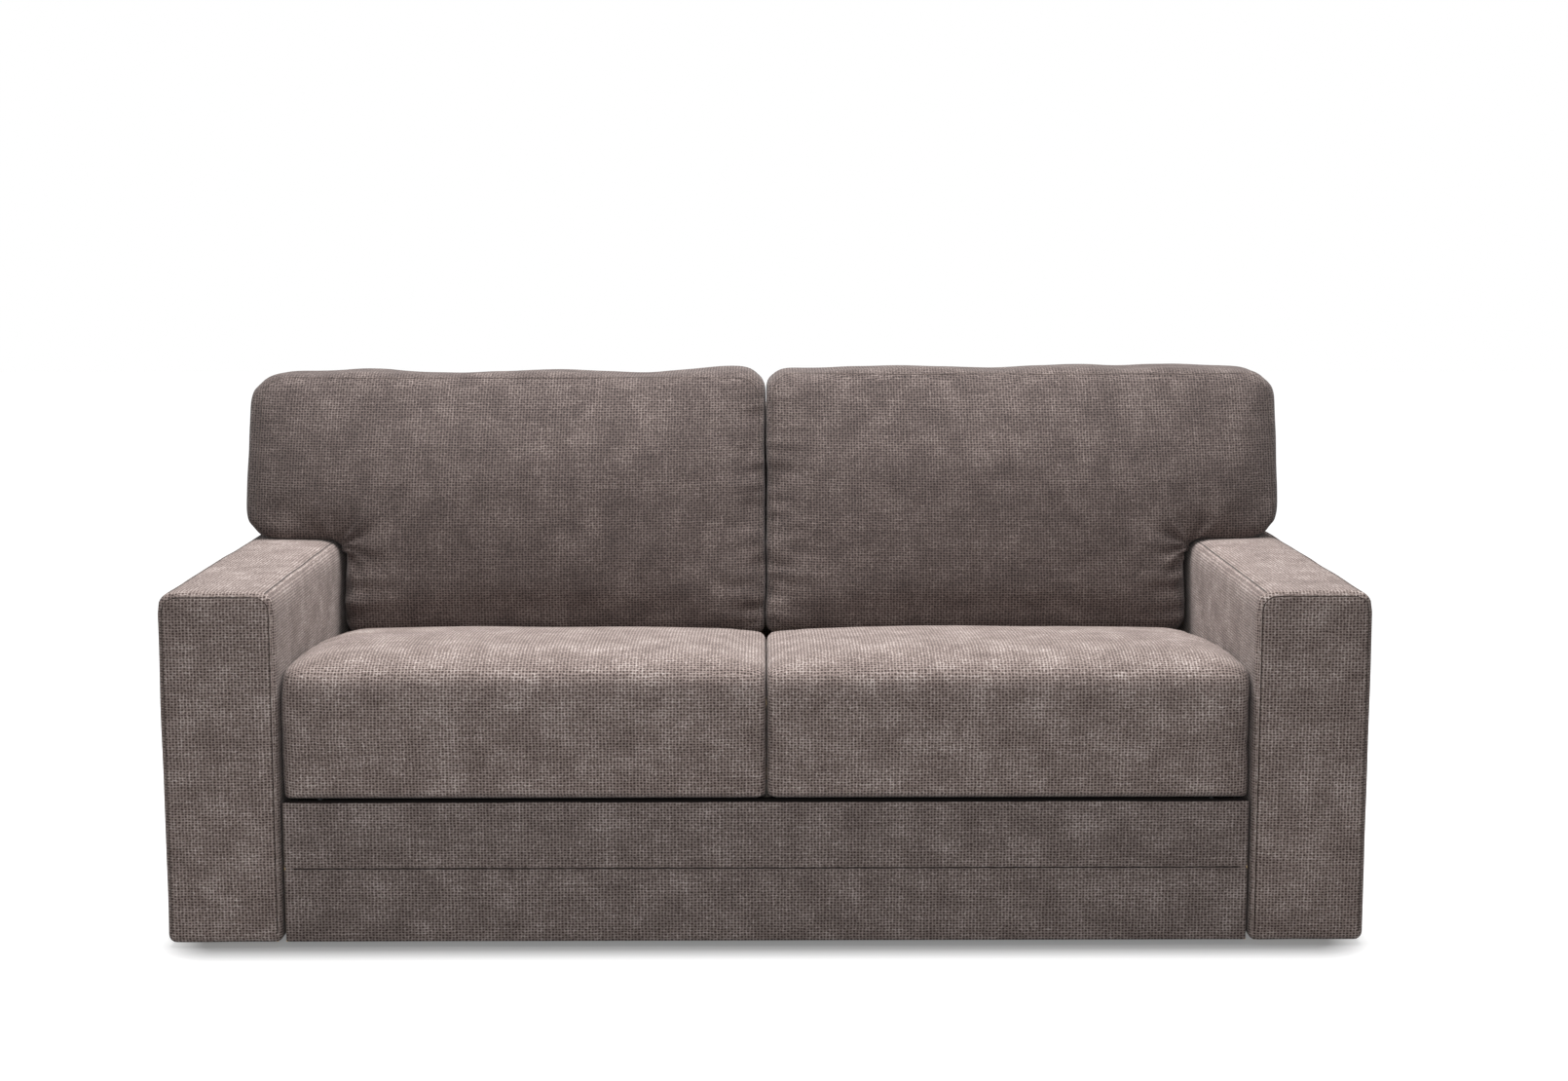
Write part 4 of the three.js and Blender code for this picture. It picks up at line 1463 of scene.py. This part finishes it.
@dataclass
class BackCushions(PairedPart):
    """Two T-shaped back cushions, fibre filled, each with one ear that lies on the arm.

    Attributes:
        stuffing: What blows the skin up.
        voxel: The size of the skin's faces before its subdivision.
        spacing: The distance between the form's loops.
        shrink: How much smaller the form starts.
        edge_radius: The radius of the padded edges.
        ear_foot_corner: The radius of the ear's lower corner, as seen from the front.
        inner_corner: The radius of the top inner corner.
        overlap: How far the ear's block reaches into the other one.
        depth: How deep the cushion is at its foot.
        crown: How far the front face swells.
        slope_foot: The height at which the back starts to slope.
        lean: How far the back slopes for each metre up.
        ear_sink: How far below the arm's top a point still counts as the ear's.
        arm_gap: The least gap between the cushion and the arm's inner side.
        arm_shy: How much further the cushion's front keeps from it.
        foot_sag: How far the foot may hang below the CAD cushion's.
        ray_mm: How deep the creases round the ear's inner corner are.
        seam_inset: How far the seam runs inside the front face's outline.
    """

    stuffing: Stuffing = Stuffing(11 * MM)
    voxel: float = 8.5 * MM
    spacing: float = 13 * MM
    shrink: float = 5 * MM
    edge_radius: float = 28 * MM
    ear_foot_corner: float = 56 * MM
    inner_corner: float = 40 * MM
    overlap: float = 90 * MM
    depth: float = 206 * MM
    crown: float = 30 * MM
    slope_foot: float = 420 * MM
    lean: float = 112 / 372
    ear_sink: float = 12 * MM
    arm_gap: float = 1.5 * MM
    arm_shy: float = 9 * MM
    foot_sag: float = 5 * MM
    ray_mm: float = 2.4
    seam_inset: float = 10 * MM

    def sloped(self, z: float) -> float:
        """How far the back has sloped away at a height."""
        return (z - self.slope_foot) * self.lean

    def build_side(self, side: Side) -> None:
        """Build one back cushion.

        Args:
            side: Which seat it belongs to.
        """
        node = f"back_cushion_{side.word}"
        low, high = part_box(node)
        arm_low, arm_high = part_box(f"arm_cover_{side.word}")
        arm_top = arm_high.z
        shoulder, _ = side.across(arm_low, arm_high)
        inner, outer = side.across(low, high)
        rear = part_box("back_cover")[0].y
        front = rear - self.depth
        sign, slump = side.value, SLUMPS[side]
        bm = bmesh.new()
        top = high.z - self.shrink

        def add_block(x0: float, x1: float, foot: float) -> list[Vert]:
            """Add one of the two blocks that make the T.

            Args:
                x0: The X of one side.
                x1: The X of the other.
                foot: The height of its foot.

            Returns:
                Its vertices.
            """
            near = Vector((min(x0, x1), front, foot))
            far = Vector((max(x0, x1), rear - self.shrink, top))
            return RoundedBlock(near, far, self.edge_radius, self.spacing).add_to(bm)

        verts = add_block(inner, shoulder - sign * self.shrink * 0.5, low.z)
        turn_corner(verts, (inner, top), (-sign, 1), self.inner_corner)
        ear_foot = arm_top + self.shrink
        verts = add_block(shoulder - sign * self.overlap, outer, ear_foot)
        turn_corner(verts, (outer, top), (sign, 1), slump.ear_corner)
        turn_corner(verts, (outer, ear_foot), (sign, -1), self.ear_foot_corner)
        # The back cushions wear the darker copy of the chenille, which paints shade on them.
        cushion = finished_piece(node + "_upholstery", bm, BACK_CHENILLE_PAINTED_SHADE)
        remesh(cushion, self.voxel)
        mid_x = (inner + outer) / 2
        half_x = abs(outer - inner) / 2

        def form(place: Vector, normal: Vector) -> Vector:
            """Crown the front face, thin the rim and lean the cushion on the slope of the back.

            Args:
                place: A point of the cloth.
                normal: Its normal.

            Returns:
                Its new place.
            """
            across = max(0.0, 1 - abs((place.x - mid_x) / half_x) ** 2.4)
            up = (place.z - low.z) / (high.z - low.z)
            rise = max(0.0, 1 - abs((up - 0.47) / 0.53) ** 2.6)
            ahead = (rear - place.y) / (rear - front)
            lift = self.crown * across * rise * ahead
            rim = (7 * MM + 17 * MM * smooth_step(up / 0.6)) * (1 - across * rise) * ahead
            thin = 18 * MM * smooth_step((up - 0.55) / 0.45) * ahead
            moved = place + BACKWARDS * (self.sloped(place.z) - lift + rim + thin)
            moved.x = tightened(moved.x, inner, self.edge_radius, 1.6)
            moved.z = tightened(moved.z, low.z, self.edge_radius, 1.4)
            return moved

        move_points(cushion, form)
        relax(cushion, 3)
        self.stuffing.fill(cushion)
        subdivide(cushion)
        seed = Vector((side.value * 17.0, 4.0, 9.0))

        def gathers(place: Vector) -> float:
            """Gather the cloth along the inner rim and tuck it beside the arm.

            Args:
                place: A point of the cloth.

            Returns:
                How far it lifts there.
            """
            up = (place.z - low.z) / (high.z - low.z)
            gather = ripple(place, (9, 0, 26), 5.5, seed + Vector((0, 2, 0)))
            gather += ripple(place, (16, 0, 52), 3.5, seed + Vector((0, 6, 0)))
            gather *= bell(abs(place.x - inner), 62 * MM) * (1.6 - 1.0 * up)
            tuck = ripple(place, (8, 0, 38), 9.0, seed + Vector((0, 7, 0)))
            return gather + tuck * bell(beside_arm(place), 66 * MM)

        def creases(place: Vector) -> float:
            """Crease the cloth in rays round the ear's inner corner.

            Args:
                place: A point of the cloth.

            Returns:
                How far it lifts there.
            """
            x, z = place.x - shoulder, place.z - arm_top
            reach = math.hypot(x, z)
            wander = noise.noise(place * 12.0) * 2.6
            rays = math.sin(math.atan2(z, x) * 9.0 + wander) * self.ray_mm * MM
            return rays * bell(reach, 85 * MM) * smooth_step(reach / (14 * MM))

        def beside_arm(place: Vector) -> float:
            """How far a point below the arm's top is from the arm; one above it counts as far away."""
            return abs(place.x - shoulder) if place.z < arm_top else 1.0

        def wrinkle(place: Vector, normal: Vector) -> Vector:
            """Wrinkle the cloth, slump its top and press it against the back, the arm and its neighbour.

            Args:
                place: A point of the cloth.
                normal: Its normal.

            Returns:
                Its new place.
            """
            lift = (gathers(place) + creases(place)) * smooth_step(-normal.y * 1.6)
            lift += ripple(place, (5, 5, 5), 4.0, seed) + ripple(place, (14, 14, 14), 1.4, seed)
            moved = place + normal * lift
            from_inner = abs(place.x - inner)
            near_top = smooth_step((place.z - low.z) / (high.z - low.z) * 3 - 2)
            wave = ripple(place, (6, 0, 0), 7, seed + Vector((0, 3, 0)))
            moved.z += near_top * (wave - slump.sag * (1 - bell(from_inner, 150 * MM)))
            moved.y = min(moved.y, rear + self.sloped(moved.z) - 1.2 * MM)
            moved.z = max(moved.z, low.z - self.foot_sag)
            if (moved.x - shoulder) * sign > -self.arm_gap:
                if place.z > arm_top - self.ear_sink:
                    moved.z = max(moved.z, arm_top + 0.8 * MM)
                else:
                    moved.x = shoulder - sign * self.arm_gap
            if place.z < arm_top - self.ear_sink:
                ahead = smooth_step(1 - (moved.y - front - self.sloped(moved.z)) / (90 * MM))
                moved.x -= sign * self.arm_shy * ahead * bell(beside_arm(place), 45 * MM)
            else:
                wide = slump.ear_foot + slump.ear_head * (place.z - arm_top) / (high.z - arm_top)
                moved.x += sign * wide * smooth_step((abs(moved.x) - 800 * MM) / (110 * MM))
            reach = inner - sign * 1.3 * MM
            pressed = ripple(place, (0, 12, 17), 2.2, (0, 0, 0))
            sharp = 1.2 - 0.2 * smooth_step((moved.z - high.z + 75 * MM) / (45 * MM))
            moved.x = tightened(moved.x, reach, 34 * MM, sharp) + pressed * bell(from_inner, 40 * MM)
            if (moved.x - pressed - reach) * sign < 0:
                moved.x = reach + pressed
            return moved

        move_points(cushion, wrinkle)
        lay_weave(cushion)
        stand_for(cushion, Body.SOFA, BACK_CHENILLE_PAINTED_SHADE, node)
        self.sew(side, cushion, (inner, shoulder, outer), (low.z, arm_top, high.z))

    def sew(self, side: Side, cushion: Piece, across: Sequence[float], heights: Sequence[float]) -> None:
        """Lay the seam round the front face, just inside its outline.

        Args:
            side: Which cushion.
            cushion: The padded cushion.
            across: The X of its inner edge, of the arm and of the ear's end.
            heights: Its foot, the arm's top and its own top.
        """
        inset = self.seam_inset
        inner = across[0] + side.value * inset
        shoulder, outer = (x - side.value * inset for x in across[1:])
        foot, arm_top = (z + inset for z in heights[:2])
        top = heights[2] - inset - max(0.0, SLUMPS[side].sag)
        bottom = ((inner, foot), (shoulder, foot), (shoulder, arm_top), (outer, arm_top))
        ahead = -1.0  # in front of the whole sofa
        corners = [Vector((x, ahead, z)) for x, z in (*bottom, (outer, top), (inner, top))]
        rim = SeamCord(f"back_cushion_front_seam_{side.word}", radius=1.3 * MM, sink=0.7 * MM)
        path = along(corners, spacing=8 * MM, radius=44 * MM, closed=True)
        rim.lay(cushion, path, BACKWARDS, closed=True)


# The bed


@dataclass
class MattressPads:
    """Four quilted foam pads, which fold with the bed's platforms.

    Attributes:
        edge_radius: The radius of the pads' edges.
        swell_mm: How unevenly the ticking swells.
    """

    edge_radius: float = 14 * MM
    swell_mm: float = 1.0

    def build(self) -> None:
        """Build the four pads, each in its CAD pad's box."""
        bodies = {"body": Body.BED_BODY, "knee": Body.KNEE, "foot": Body.FOOT, "head": Body.HEAD}
        for word, body in bodies.items():
            self.build_pad(word + "_mattress", body)

    def build_pad(self, node: str, body: Body) -> None:
        """Build one pad.

        Args:
            node: The CAD pad's name.
            body: The body that it rides on.
        """
        bm = bmesh.new()
        RoundedBlock(*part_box(node), self.edge_radius, 30 * MM).add_to(bm)
        pad = finished_piece(node + "_ticking", bm, TICKING)

        def swell(place: Vector, normal: Vector) -> Vector:
            """Let the ticking swell unevenly, no further than the foam's own faces."""
            return place + normal * (ripple(place, (8, 8, 8), self.swell_mm, (0, 0, 0)) - self.swell_mm * MM)

        move_points(pad, swell)
        lay_weave(pad)
        stand_for(pad, body, TICKING, node)


@dataclass
class Ironmongery:
    """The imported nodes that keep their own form: timber, platforms, runners, plates, pins, legs and glides.

    Attributes:
        record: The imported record.
        nodes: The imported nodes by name.
    """

    record: dict
    nodes: dict[str, Piece]

    def build(self) -> None:
        """Give each hard node its finish."""
        slots = {entry["node"]: entry["material_slot"] for entry in self.record["subparts"]}
        for name, node in self.nodes.items():
            finish = HARD_FINISHES.get(slots.get(name, ""))
            if finish is None:
                continue
            node.data.materials.clear()
            node.data.materials.append(finish.material())
            LOG.info("%s wears %s", name, finish.title)


# The studio


@dataclass(frozen=True)
class Softbox:
    """One rectangular lamp.

    Attributes:
        name: The lamp's name.
        place: Where it hangs.
        size: Its width and height.
        power: Its power in watts.
        target: The point that it faces.
    """

    name: str
    place: tuple[float, float, float]
    size: tuple[float, float]
    power: float
    target: tuple[float, float, float]

    def hang(self) -> None:
        """Add the lamp to the scene."""
        data = bpy.data.lights.new(self.name, "AREA")
        data.shape = "RECTANGLE"
        data.size, data.size_y = self.size
        data.energy = self.power
        lamp = bpy.data.objects.new(self.name, data)
        lamp.location = self.place
        away = Vector(self.target) - Vector(self.place)
        lamp.rotation_euler = away.to_track_quat("-Z", "Y").to_euler()
        bpy.context.scene.collection.objects.link(lamp)


@dataclass
class Studio:
    """A white floor, soft lamps and the photograph's camera.

    Attributes:
        lens: The focal length for the sensor.
        sensor: The sensor's width in millimetres.
        eye: Where the camera stands.
        pitch: How far it looks down, in degrees.
        yaw: How far it turns to the right, in degrees.
        lamps: The lamp above, which lights the tops, and the one in front.
        room: How much light comes from all round.
        floor_reach: Half the floor's width.
        foot: Half the sofa's width and depth where the floor's painted shadow is darkest.
        shade: The distances from that foot at which the painted shadow starts to fade and has gone.
        shade_level: How bright the floor's glow shows under the sofa, where it paints a shadow.
    """

    lens: float = 54.3
    sensor: float = 36.0
    eye: tuple[float, float, float] = (-0.0042, -4.0842, 1.1298)
    pitch: float = 7.634
    yaw: float = 0.499
    lamps: tuple[Softbox, ...] = (
        Softbox("top_softbox", (0.0, 0.05, 2.7), (3.4, 1.4), 118.0, (0.0, 0.05, 0.2)),
        Softbox("front_softbox", (-0.5, -4.6, 1.6), (2.6, 1.6), 57.0, (0.0, 0.0, 0.4)),
    )
    room: float = 0.10
    floor_reach: float = 14.0
    # These three set the painted shadow that the floor's glow draws round the sofa's foot.
    foot: tuple[float, float] = (0.86, 0.455)
    shade: tuple[float, float] = (0.03, 0.12)
    shade_level: float = 0.2

    def build(self) -> None:
        """Set up the camera, the world, the floor and the lamps."""
        self.add_camera()
        self.light_world()
        self.lay_floor()
        for lamp in self.lamps:
            lamp.hang()
        bpy.context.scene.view_settings.view_transform = "Standard"

    def add_camera(self) -> None:
        """Stand the camera where the photograph was taken."""
        data = bpy.data.cameras.new("photograph_camera")
        data.lens = self.lens
        data.sensor_width = self.sensor
        data.clip_end = 60.0
        camera = bpy.data.objects.new("photograph_camera", data)
        camera.location = self.eye
        camera.rotation_euler = (math.radians(90 - self.pitch), 0.0, math.radians(-self.yaw))
        bpy.context.scene.collection.objects.link(camera)
        bpy.context.scene.camera = camera

    def light_world(self) -> None:
        """Light from all round, and show white behind the sofa and in what mirrors it."""
        world = bpy.data.worlds.new("white_room")
        bpy.context.scene.world = world
        world.use_nodes = True
        tree = world.node_tree
        tree.nodes.clear()
        white = (1, 1, 1, 1)
        room = add_node(tree, "Background", {"Color": white, "Strength": self.room})
        backdrop = add_node(tree, "Background", {"Color": white, "Strength": 1.0})
        ray = add_node(tree, "LightPath")
        seen = ray.outputs["Is Camera Ray"]
        for kind in ("Is Glossy Ray", "Is Transmission Ray"):
            seen = add_node(tree, "Math", {"operation": "MAXIMUM"}, {0: seen, 1: ray.outputs[kind]})
        mix = add_node(tree, "MixShader", links={0: seen, 1: room, 2: backdrop})
        add_node(tree, "OutputWorld", links={"Surface": mix})

    def lay_floor(self) -> None:
        """Lay a pale floor that keeps the sofa's real shadow, adds a painted shadow round its foot and shows
        white beyond it.
        """
        bm = bmesh.new()
        bmesh.ops.create_grid(bm, x_segments=1, y_segments=1, size=self.floor_reach)
        mesh = bpy.data.meshes.new("studio_floor")
        bm.to_mesh(mesh)
        bm.free()
        floor = bpy.data.objects.new("studio_floor", mesh)
        bpy.context.scene.collection.objects.link(floor)
        material = bpy.data.materials.new("white_paper_floor")
        material.use_nodes = True
        tree = material.node_tree
        tree.nodes.clear()
        paper = add_node(tree, "BsdfDiffuse", {"Color": linear("aeaeae")})
        ray = add_node(tree, "LightPath")
        place = add_node(tree, "TexCoord").outputs["Object"]
        # The glow dims towards the sofa's foot: a painted shadow.
        mirrored = add_node(tree, "VectorMath", {"operation": "ABSOLUTE"}, {0: place})
        past = {"operation": "SUBTRACT", 1: (*self.foot, 0.0)}
        beyond = add_node(tree, "VectorMath", past, {0: mirrored})
        outside = add_node(tree, "VectorMath", {"operation": "MAXIMUM", 1: (0, 0, 0)}, {0: beyond})
        reach = add_node(tree, "VectorMath", {"operation": "LENGTH"}, {0: outside})
        fade = {"From Min": self.shade[0], "From Max": self.shade[1], "To Min": self.shade_level}
        white = add_node(tree, "MapRange", fade, {"Value": reach.outputs["Value"]})
        seen = {0: ray.outputs["Is Camera Ray"], 1: white}
        level = add_node(tree, "Math", {"operation": "MULTIPLY"}, seen)
        glow = add_node(tree, "Emission", {"Color": (1, 1, 1, 1)}, {"Strength": level})
        both = add_node(tree, "AddShader", links={0: paper, 1: glow})
        add_node(tree, "OutputMaterial", links={"Surface": both})
        mesh.materials.append(material)


def main() -> None:
    """Build the studio and dress the sofa, part by part."""
    logging.basicConfig(level=logging.INFO, format="%(name)s: %(message)s")
    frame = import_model()
    covers = (ArmCovers(), SofaBack(), FrontPanel(), SeatCushions(), BackCushions(), MattressPads())
    for part in (Studio(), Ironmongery(frame["record"], frame["nodes"]), *covers):
        part.build()


if __name__ == "__main__":
    main()
